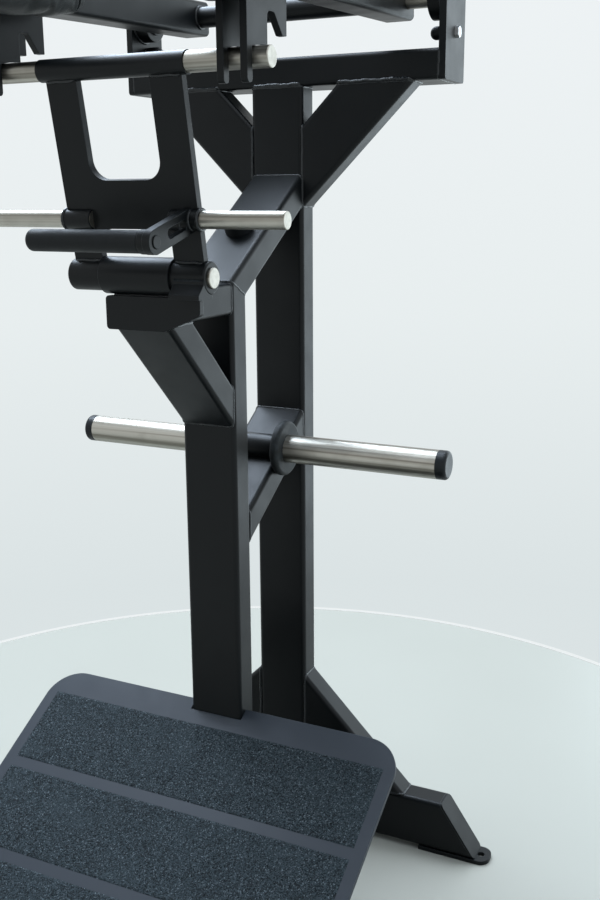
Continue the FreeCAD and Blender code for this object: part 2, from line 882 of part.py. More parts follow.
def hinge_washers():
    """Thin bright washers between the barrel and the knuckles."""
    washers = []
    for side in SIDES.values():
        start = lock_point(side * (barrel_half + running_gap), 0, 0)
        washers.append(ring(hinge_pin_radius, hinge_washer_radius, start, V(side, 0, 0), hinge_washer_thick))
    return washers


def stop_tab():
    """Wedge on the right knuckle that comes down on the front plate's top edge."""
    low = arm_low_z - front_plate_drop + front_plate_height + seat_gap
    front = hinge_y - tab_front
    points = [
        (front, low), (hinge_y, low), (hinge_y, hinge_z), (hinge_y - knuckle_radius, hinge_z),
        (hinge_y - knuckle_radius, low + tab_shoulder + tab_lip), (front, low + tab_lip),
    ]
    tab = side_slab(points, 0, tab_start, knuckle_end - tab_start)
    start = V(0, hinge_y, hinge_z)
    tab = tab.cut(rod(knuckle_radius, start, X_AXIS, knuckle_end + overrun))
    return tab.cut(rod(barrel_radius + seat_gap, start, X_AXIS, knuckle_start))


def catch_pin(side):
    """Low steel pin that stands out at one side of the lock."""
    length = catch_half - boss_inner
    points = [(0, 0), (catch_radius, 0), (catch_radius, length), (0, length)]
    return turned(points, [0, 0, catch_corner, 0], catch_point(side * boss_inner), V(side, 0, 0))


def catch_bosses():
    """Sleeves that hold the catch pins in the lock plate: a long one left, short ones beside the link."""
    long_boss = ring(catch_radius, boss_radius, catch_point(-boss_outer), X_AXIS, boss_outer - boss_inner)
    inner_boss = ring(catch_radius, boss_radius, catch_point(boss_inner), X_AXIS, link_inner - boss_inner)
    link_outer = link_inner + link_thick
    outer_boss = ring(catch_radius, boss_radius, catch_point(link_outer), X_AXIS, boss_outer - link_outer)
    return [long_boss, inner_boss, outer_boss]


def link_frame():
    """Top centre of the handle link and its direction down to the grip."""
    fall = math.radians(link_fall)
    return catch_point(0), V(0, -math.cos(fall), -math.sin(fall))


def link_blank():
    """Handle link before its slot and holes are cut."""
    top, along = link_frame()
    points = box_points(-link_radius, link_length + link_radius, -link_radius, link_radius)
    blank = slab(points, link_radius * full_round_share, link_thick)
    return framed(blank, V(link_inner, top.y, top.z), along, X_AXIS.cross(along))


def handle_link():
    """Slotted link from the right catch pin down to the grip."""
    top, along = link_frame()
    half = link_slot_wide / 2
    points = box_points(link_slot_start, link_slot_end, -half, half)
    slot = slab(points, half * full_round_share, link_thick)
    slot = framed(slot, V(link_inner, top.y, top.z), along, X_AXIS.cross(along))
    link = link_blank().cut(slot)
    link = link.cut(rod(catch_radius, V(link_inner, top.y, top.z), X_AXIS, link_thick))
    return link.cut(rod(handle_core_radius, grip_point(link_inner), X_AXIS, link_thick))


def grip_point(x):
    """Point on the axis of the lock's handle grip."""
    top, along = link_frame()
    return V(x, top.y, top.z) + along * link_length


def handle_core():
    """Turned bar through the link, with the collar that the grip butts against."""
    start = grip_point(handle_grip_corner - handle_grip_end)
    collar_high = handle_grip_end - handle_grip_corner + link_inner
    collar_low = collar_high - handle_collar_thick
    end = collar_high + link_thick + handle_core_proud
    points = [
        (0, 0), (handle_core_radius, 0), (handle_core_radius, collar_low), (handle_collar_radius, collar_low),
        (handle_collar_radius, collar_high), (handle_core_radius, collar_high), (handle_core_radius, end),
        (0, end),
    ]
    return turned(points, [0, 0, 0, catch_corner, 0, 0, catch_corner / 2, 0], start, X_AXIS)


def handle_grip():
    """Smooth closed sleeve over the handle's core."""
    start = grip_point(-handle_grip_end)
    length = handle_grip_end + link_inner - handle_collar_thick - seat_gap
    points = [
        (0, 0), (handle_grip_radius, 0), (handle_grip_radius, length), (handle_core_radius, length),
        (handle_core_radius, handle_grip_corner), (0, handle_grip_corner),
    ]
    return turned(points, [0, handle_grip_corner * dome_share, catch_corner, 0, 0, 0], start, X_AXIS)


def on_lever(x, ahead, above):
    """Point of the lever at rest: ahead of the pivot along the arms and square above their middle."""
    y = pivot_y - ahead * math.cos(slope) - above * math.sin(slope)
    return V(x, y, pivot_z - ahead * math.sin(slope) + above * math.cos(slope))


lever_along = on_lever(0, 1, 0) - on_lever(0, 0, 0)
lever_up = on_lever(0, 0, 1) - on_lever(0, 0, 0)


def lever_arm(side):
    """Long rectangular tube from behind the pivot to in front of the shoulder pads."""
    start = on_lever(side * lever_centre, -lever_tail, 0)
    length = lever_tail + lever_front
    arm = hollow_section(
        start, lever_along, X_AXIS, length, lever_wide, lever_tall, lever_wall, lever_corner
    )
    return arm.cut(rod(shaft_radius, V(-reach / 2, pivot_y, pivot_z), X_AXIS, reach))


def lever_end_plates():
    """Plates that close both ends of both arms."""
    plates = []
    for side in SIDES.values():
        for ahead in (-lever_tail - lever_end_plate, lever_front):
            points = box_points(-lever_wide / 2, lever_wide / 2, -lever_tall / 2, lever_tall / 2)
            plate = slab(points, lever_corner, lever_end_plate)
            start = on_lever(side * lever_centre, ahead, 0)
            plates.append(framed(plate, start, X_AXIS, lever_along.cross(X_AXIS)))
    return plates


def shaft_half():
    """Half the length of the lever's shaft."""
    return head_half - seat_gap


def pivot_shaft():
    """Steel shaft that carries both arms."""
    return rod(shaft_radius, V(-shaft_half(), pivot_y, pivot_z), X_AXIS, 2 * shaft_half())


def pivot_sleeve():
    """Black tube round the shaft between the arms, welded to both."""
    half = lever_centre - lever_wide / 2
    return ring(shaft_radius, shaft_sleeve_radius, V(-half, pivot_y, pivot_z), X_AXIS, 2 * half)


def hook_profile(low_x):
    """Hook plate: a tongue in front of the bar, a finger on top of it and a spare notch behind.

    The finger's underside is an arc about the lock's hinge, so that the bar can swing out from under it.
    """
    tongue_rear = bar_y - bar_radius - seat_gap
    tongue_front = tongue_rear - tongue_thick
    tongue_low = bar_z - tongue_drop
    ceiling = lock_radius + bar_radius + seat_gap
    finger_rear = tongue_rear + finger_length
    notch_top = bar_z + bar_radius + notch_height
    heel_front = finger_rear + notch_mouth
    heel_rear = heel_front + heel_thick
    heel_low = bar_z + bar_radius + heel_rise
    top = pivot_z
    blank = [
        (tongue_front, tongue_low), (tongue_rear, tongue_low), (tongue_rear, bar_z), (finger_rear, bar_z),
        (finger_rear, notch_top), (finger_rear + notch_crown, notch_top), (heel_front, heel_low),
        (heel_rear, heel_low), (heel_rear, top), (tongue_front, top),
    ]
    tip = tongue_thick / 2 * dome_share
    radii = [tip, tip, 0, 0, notch_corner, notch_corner, heel_corner, heel_corner, 0, 0]
    plate = side_slab(blank, radii, low_x, hook_thick)
    sweep = rod(ceiling, V(low_x, hinge_y, hinge_z), X_AXIS, hook_thick)
    finger_zone = side_slab(
        box_points(tongue_rear, heel_rear + overrun, hinge_z, top), 0, low_x, hook_thick
    )
    plate = plate.cut(sweep.common(finger_zone))
    return trim(plate, on_lever(0, 0, -lever_tall / 2), lever_up)


def hook_pair(side):
    """Two hook plates under one arm, with the bar passing through both."""
    plates = []
    for direction in (-1, 1):
        middle = side * lever_centre + direction * (hook_space + hook_thick) / 2
        plates.append(hook_profile(middle - hook_thick / 2))
    return plates


def horn_set(side):
    """Collar, horn and cap on the outside of one arm, for the working load."""
    collar_at = on_lever(side * (lever_centre + lever_wide / 2), horn_place, 0)
    horn_at = collar_at + X_AXIS * (side * collar_thick)
    cap_at = horn_at + X_AXIS * (side * horn_length)
    return peg_collar(collar_at, side), peg(horn_at, side, horn_length), peg_cap(cap_at, side)


def hand_posts():
    """Short posts on top of the arms that carry the hand grips."""
    posts = []
    for side in SIDES.values():
        start = on_lever(side * lever_centre, hand_grip_place, lever_tall / 2)
        posts.append(rod(hand_post_radius, start, lever_up, hand_grip_height))
    return posts


def hand_grips():
    """Rubber grips on the posts, closed and rounded at the top."""
    grips = []
    skin = hand_grip_radius - hand_post_radius
    for side in SIDES.values():
        low = lever_tall / 2 + hand_grip_height - hand_grip_length
        start = on_lever(side * lever_centre, hand_grip_place, low)
        points = [
            (hand_post_radius, 0), (hand_grip_radius, 0), (hand_grip_radius, hand_grip_length + skin),
            (0, hand_grip_length + skin), (0, hand_grip_length), (hand_post_radius, hand_grip_length),
        ]
        grips.append(turned(points, [0, catch_corner, skin * dome_share, 0, 0, 0], start, lever_up))
    return grips


def pad_bracket(side):
    """Angle bracket on the arm's inner face, with a flange over the shoulder pad."""
    arm_face = lever_centre - lever_wide / 2
    inner = arm_face - pad_wide + pad_bracket_inset
    low = pad_top
    points = [
        (inner, low), (arm_face, low), (arm_face, low + pad_bracket_lift),
        (arm_face - pad_bracket_thick, low + pad_bracket_lift),
        (arm_face - pad_bracket_thick, low + pad_bracket_thick), (inner, low + pad_bracket_thick),
    ]
    points = [(side * x, z) for x, z in points]
    start = on_lever(0, pad_start + pad_bracket_inset, 0)
    return framed(slab(points, 0, pad_length - 2 * pad_bracket_inset), start, X_AXIS, lever_up)


def pad_section(middle_x, along_share, wide_share, deep_share):
    """Cross-section of a shoulder pad: flat under its bracket, crowned below, sides drawn in."""
    half = pad_wide / 2 * wide_share
    depth = pad_depth * deep_share
    low_corner = min(pad_corner, half * pad_low_corner_wide_share, depth * pad_low_corner_deep_share)
    high_corner = min(pad_edge, half * pad_high_corner_wide_share, depth * pad_high_corner_deep_share)
    points = box_points(-half, half, -depth, 0)
    wire = outline(points, [low_corner, low_corner, high_corner, high_corner])
    ahead = pad_start + pad_length * along_share
    return framed(wire, on_lever(middle_x, ahead, pad_top - seat_gap), X_AXIS, lever_up)


def shoulder_pad(side):
    """Cushion on the inner side of one arm, crowned along its length and rounded at its ends."""
    middle = side * (lever_centre - lever_wide / 2 - pad_side_gap - pad_wide / 2)
    sections = [pad_section(middle, *shares) for shares in pad_station_shares]
    return Part.makeLoft(sections, True, False)


def both(make):
    """Left and right copy of a piece."""
    return [make(side) for side in SIDES.values()]


def build():
    """Every piece of the machine, by name."""
    nodes = {
        "rear_leg": rear_leg(),
        "foot_end_plates": rear_leg_end_plates() + front_foot_end_plates(),
        "foot_pads": foot_pads(rear_leg_half, face_y + section_deep / 2)
        + foot_pads(front_foot_half + leg_end_plate, front_foot_y()),
        "rear_upright": rear_upright(),
        "rear_braces": both(rear_brace),
        "base_spine": base_spine(),
        "front_cross_foot": front_cross_foot(),
        "front_upright": front_upright(),
        "neck": neck(),
        "lower_brace": lower_brace(),
        "support_arm": support_arm(),
        "under_brace": under_brace(),
        "front_plate": front_plate(),
        "hinge_barrel": hinge_barrel(),
        "hinge_bushes": hinge_bushes(),
        "head_beam": head_beam(),
        "head_braces": both(head_brace),
        "side_plates": both(side_plate),
        "bearing_housings": both(bearing_housing),
        "pivot_bushes": pivot_bushes(),
        "bearing_covers": bearing_covers(),
        "stop_buffers": stop_buffers(),
        "buffer_fasteners": buffer_washers() + buffer_bolts(),
        "neck_bumper": neck_bumper(),
        "peg_hub": peg_hub(),
        "plate_crossbar": crossbar(),
        "crossbar_plugs": crossbar_plugs(),
        "plate_stringers": stringers(),
        "foot_plate": foot_plate(),
        "grip_strips": grip_strips(),
        "lock_plate": lock_plate(),
        "lock_bar": lock_bar(),
        "lock_bar_sleeve": lock_bar_sleeve(),
        "hinge_pin": hinge_pin(),
        "hinge_knuckles": both(knuckle),
        "hinge_washers": hinge_washers(),
        "stop_tab": stop_tab(),
        "catch_bosses": catch_bosses(),
        "catch_pins": both(catch_pin),
        "handle_link": handle_link(),
        "handle_core": handle_core(),
        "handle_grip": handle_grip(),
        "lever_end_plates": lever_end_plates(),
        "pivot_shaft": pivot_shaft(),
        "pivot_sleeve": pivot_sleeve(),
        "hand_posts": hand_posts(),
        "hand_grips": hand_grips(),
        "pad_brackets": both(pad_bracket),
    }
    for name, side in SIDES.items():
        nodes[f"{name}_lever_arm"] = lever_arm(side)
        nodes[f"{name}_hooks"] = hook_pair(side)
        nodes[f"{name}_shoulder_pad"] = shoulder_pad(side)
    for use, peg_set in (("storage", storage_set), ("horn", horn_set)):
        collars, pegs, caps = zip(*both(peg_set))
        nodes[f"{use}_collars"] = list(collars)
        nodes["storage_pegs" if use == "storage" else "load_horns"] = list(pegs)
        nodes[f"{use}_caps"] = list(caps)
    return nodes


def main():
    """Builds the pieces and writes one STEP file for each name."""
    os.makedirs("parts", exist_ok=True)
    nodes = build()
    for name, shape in nodes.items():
        if isinstance(shape, list):
            shape = Part.makeCompound(shape)
        valid = shape.isValid() and all(solid.isClosed() for solid in shape.Shells)
        print(f"{name}: {len(shape.Solids)} solids, {shape.Volume / 1000:.1f} cm3, valid {valid}")
        shape.exportStep(f"parts/{name}.step")
    print(len(nodes), "nodes")


main()
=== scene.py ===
"""Leverage squat machine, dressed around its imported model.

Every piece is drawn in metres in the frame of the model: +Z is up and -Y is towards the lifter.
"""

import json
import logging
import math
import random
from abc import ABC, abstractmethod
from dataclasses import dataclass, field
from enum import Enum
from functools import lru_cache
from typing import Any, Callable, Sequence

import bmesh
import bpy
from mathutils import Matrix, Vector
from mathutils.bvhtree import BVHTree


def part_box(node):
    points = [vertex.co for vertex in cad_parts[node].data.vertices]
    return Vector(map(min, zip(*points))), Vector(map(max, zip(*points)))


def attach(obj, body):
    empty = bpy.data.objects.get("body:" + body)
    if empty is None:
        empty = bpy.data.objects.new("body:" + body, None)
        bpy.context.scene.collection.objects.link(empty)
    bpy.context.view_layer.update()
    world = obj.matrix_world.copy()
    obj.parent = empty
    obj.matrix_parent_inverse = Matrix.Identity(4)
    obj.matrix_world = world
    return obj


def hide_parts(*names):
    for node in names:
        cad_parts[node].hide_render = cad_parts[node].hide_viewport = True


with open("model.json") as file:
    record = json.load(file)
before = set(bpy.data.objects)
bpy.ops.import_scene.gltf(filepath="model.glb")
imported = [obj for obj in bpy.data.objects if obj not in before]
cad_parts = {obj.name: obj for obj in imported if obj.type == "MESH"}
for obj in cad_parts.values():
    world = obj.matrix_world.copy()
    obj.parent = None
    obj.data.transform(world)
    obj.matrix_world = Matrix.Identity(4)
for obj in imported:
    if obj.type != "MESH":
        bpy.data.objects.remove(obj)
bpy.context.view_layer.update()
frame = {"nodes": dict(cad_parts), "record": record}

logging.basicConfig(level=logging.INFO, format="%(message)s")
log = logging.getLogger("squat_machine")

Colour = tuple[float, float, float]
Profile = Sequence[tuple[float, float]]
FlushTest = Callable[[Vector], bool]
Socket = bpy.types.NodeSocket
MM = 0.001
X_AXIS = Vector((1, 0, 0))
Y_AXIS = Vector((0, 1, 0))
Z_AXIS = Vector((0, 0, 1))


class Body(Enum):
    """Moving bodies of the machine."""

    FRAME = "frame"
    LOCK = "lock"
    LEVER = "lever"


class Slot(Enum):
    """Material slots of the record."""

    FRAME_PAINT = "frame_paint"
    PLATE_PAINT = "plate_paint"
    GRIT = "grit"
    BRIGHT_STEEL = "bright_steel"
    ZINC = "zinc"
    BRONZE = "bronze"
    BLACK_RUBBER = "black_rubber"
    BLACK_PLASTIC = "black_plastic"
    PAD_COVER = "pad_cover"


class Side(Enum):
    """The two sides of the machine, as signs of X."""

    LEFT = -1
    RIGHT = 1

    @property
    def label(self) -> str:
        """Name of the side in lower case."""
        return self.name.lower()


# Finishes


class NodeSheet:
    """Nodes of a material or a world."""

    def __init__(self, owner: bpy.types.Material | bpy.types.World) -> None:
        """Starts with an empty node tree.

        Args:
            owner: Material or world that the nodes belong to.
        """
        owner.use_nodes = True
        self.nodes = owner.node_tree.nodes
        self.links = owner.node_tree.links
        self.nodes.clear()

    def feed(self, node: bpy.types.Node, **values: Any) -> None:
        """Sets or joins sockets of a node.

        Args:
            node: Node whose inputs are set.
            **values: A constant or another node's output for each socket. A socket is named with underscores
                for spaces, or by an underscore and its number.
        """
        for name, value in values.items():
            socket = node.inputs[int(name[1:]) if name[0] == "_" else name.replace("_", " ")]
            if isinstance(value, Socket):
                self.links.new(value, socket)
            elif socket.type == "RGBA":
                socket.default_value = (*value, 1)
            else:
                socket.default_value = value

    def add(self, kind: str, settings: dict[str, Any] | None = None, **values: Any) -> bpy.types.Node:
        """Adds a node.

        Args:
            kind: Name of the node type without its ShaderNode prefix.
            settings: Properties of the node itself.
            **values: Its sockets, as feed takes them.

        Returns:
            The node.
        """
        node = self.nodes.new("ShaderNode" + kind)
        for name, value in (settings or {}).items():
            setattr(node, name, value)
        self.feed(node, **values)
        return node

    def combine(self, operation: str, first: Socket, second: Socket) -> Socket:
        """Grey value that a Math node makes of two others."""
        return self.add("Math", {"operation": operation}, _0=first, _1=second).outputs[0]

    def span(self, value: Socket, low: float, high: float, start: float = 0.3, end: float = 0.7,
             easing: str = "LINEAR") -> Socket:
        """Maps a grey value to another range.

        Args:
            value: Grey value.
            low: Result at the start.
            high: Result at the end.
            start: Value where the range starts.
            end: Value where it ends.
            easing: Interpolation of the node.

        Returns:
            The result.
        """
        node = self.add("MapRange", {"interpolation_type": easing}, Value=value, From_Min=start, From_Max=end,
                        To_Min=low, To_Max=high)
        return node.outputs["Result"]

    def blend(self, factor: Any, first: Any, second: Any, mode: str = "MIX") -> Socket:
        """Mixes two colours by a grey value."""
        settings = {"data_type": "RGBA", "blend_type": mode}
        return self.add("Mix", settings, _0=factor, _6=first, _7=second).outputs[2]


class ShaderSheet(NodeSheet):
    """Nodes of one material, with a Principled shader already joined to the output."""

    def __init__(self, name: str, **constants: float) -> None:
        """Starts a material.

        Args:
            name: Name of the material.
            **constants: Constants of the shader's sockets, as feed takes them.
        """
        self.material = bpy.data.materials.new(name)
        super().__init__(self.material)
        self.shader = self.add("BsdfPrincipled", **constants)
        self.output = self.add("OutputMaterial", Surface=self.shader.outputs["BSDF"])

    def place(self, stretch: tuple[float, float, float] = (1, 1, 1)) -> Socket:
        """Object coordinates.

        Args:
            stretch: Factors along the axes.

        Returns:
            The coordinates.
        """
        coords = self.add("TexCoord").outputs["Object"]
        if stretch == (1, 1, 1):
            return coords
        return self.add("Mapping", Vector=coords, Scale=stretch).outputs["Vector"]

    def noise(self, vector: Socket, scale: float, detail: float = 2.0) -> Socket:
        """Grey noise with the given scale per metre."""
        return self.add("TexNoise", Vector=vector, Scale=scale, Detail=detail).outputs[0]

    def relief(self, height: Socket, depth: float, below: Socket | None = None,
               strength: float = 1.0) -> Socket:
        """Bump on a surface.

        Args:
            height: Grey value of the height.
            depth: Depth in metres.
            below: Normal that the bump lies on, or none for the plain surface.
            strength: Share of the bump that shows.

        Returns:
            The normal.
        """
        under = {} if below is None else {"Normal": below}
        return self.add("Bump", Height=height, Distance=depth, Strength=strength, **under).outputs["Normal"]

    def eased_edge(self, radius: float) -> Socket:
        """Normal that rounds the edges of a piece by radius."""
        return self.add("Bevel", {"samples": 6}, Radius=radius).outputs["Normal"]

    def edge_mask(self, radius: float, start: float, end: float) -> Socket:
        """Finds the edges of a piece.

        Args:
            radius: Width of the edges.
            start: Cosine of the turn where the mask is 0.
            end: Cosine of the turn where it is 1.

        Returns:
            Grey value that is 1 on edges and 0 on open faces.
        """
        rounded = self.eased_edge(radius)
        flat = self.add("NewGeometry").outputs["True Normal"]
        dot = self.add("VectorMath", {"operation": "DOT_PRODUCT"}, _0=rounded, _1=flat).outputs["Value"]
        return self.span(dot, 0.0, 1.0, start, end)

    def finished(self, tone: Socket, rough: Socket, normal: Socket) -> bpy.types.Material:
        """The material, with its colour, roughness and normal joined to the shader."""
        self.feed(self.shader, Base_Color=tone, Roughness=rough, Normal=normal)
        return self.material


class Finish(ABC):
    """Surface finish that can make its material."""

    name: str

    @abstractmethod
    def build(self) -> bpy.types.Material:
        """Makes the material."""


@lru_cache(maxsize=None)
def material_of(finish: Finish) -> bpy.types.Material:
    """The one material of a finish, made on first use."""
    return finish.build()


@dataclass(frozen=True)
class PowderCoat(Finish):
    """Satin powder coat with a fine orange-peel texture, and edges lightened partly as rubbed paint and
    partly as painted highlight where they catch light.
    """

    name: str
    colour: Colour
    cloud: Colour
    rubbed_and_edge_highlight: Colour
    roughness: tuple[float, float] = (0.36, 0.44)
    gloss: float = 0.21
    peel_size: float = 0.0011
    peel_depth: float = 0.00003
    edge: float = 0.0014

    def build(self) -> bpy.types.Material:
        """Makes the material.

        Returns:
            The material.
        """
        sheet = ShaderSheet(self.name, Specular_IOR_Level=self.gloss)
        place = sheet.place()
        base = sheet.blend(sheet.span(sheet.noise(place, 9.0, 4.0), 0.0, 1.0), self.colour, self.cloud)
        edge_patches = sheet.span(sheet.noise(place, 90.0, 5.0), 0.15, 0.9, 0.35, 0.65)
        # lighter edges: partly rubbed paint, partly a painted highlight of edges catching light
        edge_wear_and_highlight = sheet.combine("MULTIPLY", sheet.edge_mask(self.edge, 0.985, 0.86), edge_patches)
        peel = sheet.noise(place, 1 / self.peel_size)
        normal = sheet.relief(peel, self.peel_depth, sheet.eased_edge(self.edge), 0.8)
        rough = sheet.span(sheet.noise(place, 24.0, 5.0), *self.roughness)
        return sheet.finished(sheet.blend(edge_wear_and_highlight, base, self.rubbed_and_edge_highlight), rough, normal)


@dataclass(frozen=True)
class DrawnSteel(Finish):
    """Bright steel bar with fine lines along X, the way every bright bar on the machine lies."""

    name: str
    colour: Colour = (0.44, 0.42, 0.375)
    stain: Colour = (0.135, 0.122, 0.098)
    roughness: tuple[float, float] = (0.33, 0.45)
    line_stretch: tuple[float, float, float] = (5.0, 900.0, 900.0)
    streak_stretch: tuple[float, float, float] = (0.8, 130.0, 130.0)

    def build(self) -> bpy.types.Material:
        """Makes the material, with streaks that fade on faces that look along X.

        Returns:
            The material.
        """
        sheet = ShaderSheet(self.name, Metallic=1.0)
        lines = sheet.noise(sheet.place(self.line_stretch), 1.0, 6.0)
        streaks = sheet.noise(sheet.place(self.streak_stretch), 1.0, 3.0)
        cloud = sheet.noise(sheet.place(), 34.0, 6.0)
        facing = sheet.add("SeparateXYZ", Vector=sheet.add("TexCoord").outputs["Normal"]).outputs["X"]
        round_side = sheet.span(sheet.combine("MULTIPLY", facing, facing), 1.0, 0.25, 0.2, 0.9)
        streaks = sheet.combine("MULTIPLY", sheet.span(streaks, 0.0, 0.8, 0.44, 0.64), round_side)
        tone = sheet.blend(streaks, self.colour, self.stain)
        tone = sheet.blend(sheet.span(cloud, 0.0, 0.25, 0.5, 0.8), tone, self.stain)
        normal = sheet.relief(lines, 0.00002, sheet.eased_edge(0.0008), 0.6)
        return sheet.finished(tone, sheet.span(lines, *self.roughness), normal)


@dataclass(frozen=True)
class CastMetal(Finish):
    """Plain machined or plated metal with a faint mottle."""

    name: str
    colour: Colour
    stain: Colour
    roughness: tuple[float, float]

    def build(self) -> bpy.types.Material:
        """Makes the material.

        Returns:
            The material.
        """
        sheet = ShaderSheet(self.name, Metallic=1.0)
        mottle = sheet.noise(sheet.place(), 420.0, 5.0)
        tone = sheet.blend(sheet.span(mottle, 0.0, 1.0), self.colour, self.stain)
        rough = sheet.span(sheet.noise(sheet.place(), 160.0, 4.0), *self.roughness)
        return sheet.finished(tone, rough, sheet.relief(mottle, 0.00003, sheet.eased_edge(0.0005), 0.5))


@dataclass(frozen=True)
class Moulded(Finish):
    """Black rubber or plastic with the fine grain of its mould."""

    name: str
    colour: Colour
    bloom: Colour
    roughness: tuple[float, float]
    grain_size: float
    grain_depth: float

    def build(self) -> bpy.types.Material:
        """Makes the material.

        Returns:
            The material.
        """
        sheet = ShaderSheet(self.name, Specular_IOR_Level=0.22)
        place = sheet.place()
        bloom = sheet.noise(place, 55.0, 6.0)
        tone = sheet.blend(sheet.span(bloom, 0.0, 1.0, 0.42, 0.78), self.colour, self.bloom)
        grain = sheet.noise(place, 1 / self.grain_size, 3.0)
        normal = sheet.relief(grain, self.grain_depth, sheet.eased_edge(0.0012), 0.8)
        return sheet.finished(tone, sheet.span(bloom, *self.roughness), normal)


@dataclass(frozen=True)
class GritSheet(Finish):
    """Mineral grit: dark grains with scattered pale and bluish sparkles."""

    name: str
    dark: Colour = (0.003, 0.004, 0.005)
    grey: Colour = (0.034, 0.046, 0.051)
    pale: Colour = (0.115, 0.135, 0.145)
    grain: float = 0.0015

    def build(self) -> bpy.types.Material:
        """Makes the material.

        Returns:
            The material.
        """
        sheet = ShaderSheet(self.name, Specular_IOR_Level=0.14)
        place = sheet.place()
        cells = sheet.add("TexVoronoi", Vector=place, Scale=1 / self.grain)
        shade = sheet.add("SeparateColor", Color=cells.outputs["Color"])
        tone = sheet.blend(sheet.span(shade.outputs[0], 0.0, 1.0, 0.15, 0.95), self.dark, self.grey)
        tone = sheet.blend(sheet.span(shade.outputs[1], 0.0, 1.0, 0.90, 1.0), tone, self.pale)
        tone = sheet.blend(sheet.span(sheet.noise(place, 11.0, 5.0), 0.0, 0.35, 0.5, 0.8), tone, self.grey)
        rough = sheet.span(shade.outputs[2], 0.55, 0.95, 0.0, 1.0)
        return sheet.finished(tone, rough, sheet.relief(cells.outputs["Distance"], -0.0006))


@dataclass(frozen=True)
class Leatherette(Finish):
    """Upholstery vinyl with a pebbled grain and soft creases."""

    name: str
    colour: Colour = (0.0095, 0.0115, 0.0115)
    worn: Colour = (0.019, 0.022, 0.0215)
    pebble: float = 0.0014
    bend: float = 0.0009

    def build(self) -> bpy.types.Material:
        """Makes the material.

        Returns:
            The material.
        """
        sheet = ShaderSheet(self.name, Sheen_Weight=0.04, Sheen_Roughness=0.4, Specular_IOR_Level=0.25)
        place = sheet.place()
        wobble = sheet.add("TexNoise", Vector=place, Scale=300.0).outputs["Color"]
        bent = sheet.add("VectorMath", {"operation": "MULTIPLY_ADD"}, _0=wobble, _1=(self.bend,) * 3,
                         _2=place).outputs[0]
        cells = sheet.add("TexVoronoi", {"feature": "DISTANCE_TO_EDGE"}, Vector=bent, Scale=1 / self.pebble)
        pebbles = sheet.span(cells.outputs["Distance"], 0.0, 1.0, 0.0, 0.16)
        creases = sheet.noise(sheet.place((60, 14, 60)), 1.0, 6.0)
        tone = sheet.blend(sheet.span(creases, 0.0, 1.0, 0.45, 0.75), self.colour, self.worn)
        normal = sheet.relief(pebbles, 0.00012, sheet.relief(creases, 0.0007, None, 0.5), 0.7)
        return sheet.finished(tone, sheet.span(pebbles, 0.58, 0.40, 0.0, 1.0), normal)


@dataclass(frozen=True)
class Thread(Finish):
    """Twisted sewing thread."""

    name: str
    colour: Colour = (0.035, 0.038, 0.038)
    lit: Colour = (0.075, 0.08, 0.08)

    def build(self) -> bpy.types.Material:
        """Makes the material.

        Returns:
            The material.
        """
        sheet = ShaderSheet(self.name, Sheen_Weight=0.3, Sheen_Roughness=0.5)
        wave = sheet.add("TexWave", {"bands_direction": "DIAGONAL"}, Vector=sheet.place(), Scale=900.0)
        twist = wave.outputs["Fac"]
        tone = sheet.blend(sheet.span(twist, 0.0, 1.0), self.colour, self.lit)
        return sheet.finished(tone, sheet.span(twist, 0.85, 0.6), sheet.relief(twist, 0.0001))


# The third colour of each coat lightens its edges: partly rubbed paint, partly a painted edge highlight.
FRAME_PAINT = PowderCoat("frame_paint_satin", (0.0028, 0.0038, 0.0044), (0.0040, 0.0052, 0.0060),
                         (0.046, 0.054, 0.058))
# The beads carry the frame's paint, made lighter as a painted highlight of beads catching light, and
# glossier.
WELD_PAINT_HIGHLIGHTED = PowderCoat("weld_paint_satin_highlighted", (0.0080, 0.0096, 0.0106), (0.0110, 0.0130, 0.0142),
                        (0.060, 0.068, 0.074), roughness=(0.24, 0.32), gloss=0.4, peel_depth=0.00008)
PLATE_PAINT = PowderCoat("tread_paint_slate", (0.0250, 0.0292, 0.0358), (0.0275, 0.0320, 0.0385),
                         (0.070, 0.078, 0.084), roughness=(0.42, 0.52), gloss=0.20)
BRIGHT_STEEL = DrawnSteel("bright_steel_drawn")
ZINC = CastMetal("zinc_plate", (0.74, 0.75, 0.76), (0.55, 0.56, 0.57), (0.26, 0.42))
BRONZE = CastMetal("sintered_bronze", (0.60, 0.40, 0.19), (0.40, 0.25, 0.11), (0.32, 0.5))
RUBBER = Moulded("black_rubber", (0.0065, 0.0080, 0.0090), (0.014, 0.016, 0.017), (0.46, 0.60),
                 grain_size=0.0006, grain_depth=0.00004)
COLLAR_RUBBER = Moulded("collar_rubber", (0.0085, 0.0100, 0.0105), (0.036, 0.041, 0.043), (0.48, 0.68),
                        grain_size=0.0010, grain_depth=0.00010)
PLASTIC = Moulded("black_plastic", (0.0070, 0.0090, 0.0105), (0.012, 0.014, 0.016), (0.34, 0.44),
                  grain_size=0.0008, grain_depth=0.00003)
GRIT = GritSheet("tread_grit")
VINYL = Leatherette("pad_vinyl")
THREAD = Thread("pad_thread")

SLOT_FINISH: dict[Slot, Finish] = {
    Slot.FRAME_PAINT: FRAME_PAINT,
    Slot.PLATE_PAINT: PLATE_PAINT,
    Slot.GRIT: GRIT,
    Slot.BRIGHT_STEEL: BRIGHT_STEEL,
    Slot.ZINC: ZINC,
    Slot.BRONZE: BRONZE,
    Slot.BLACK_RUBBER: RUBBER,
    Slot.BLACK_PLASTIC: PLASTIC,
    Slot.PAD_COVER: VINYL,
}


# Meshes

STEEP = 0.9  # share of a direction's length along Z from which it counts as upright
THINNEST = 0.00002  # least radius of a turned form, in place of a closed end


def square_to(along: Vector) -> tuple[Vector, Vector]:
    """Two unit vectors square to a direction and to each other.

    Args:
        along: The direction.

    Returns:
        Both vectors.
    """
    helper = Z_AXIS if abs(along.z) < STEEP * along.length else X_AXIS
    across = along.cross(helper).normalized()
    return across, along.normalized().cross(across)


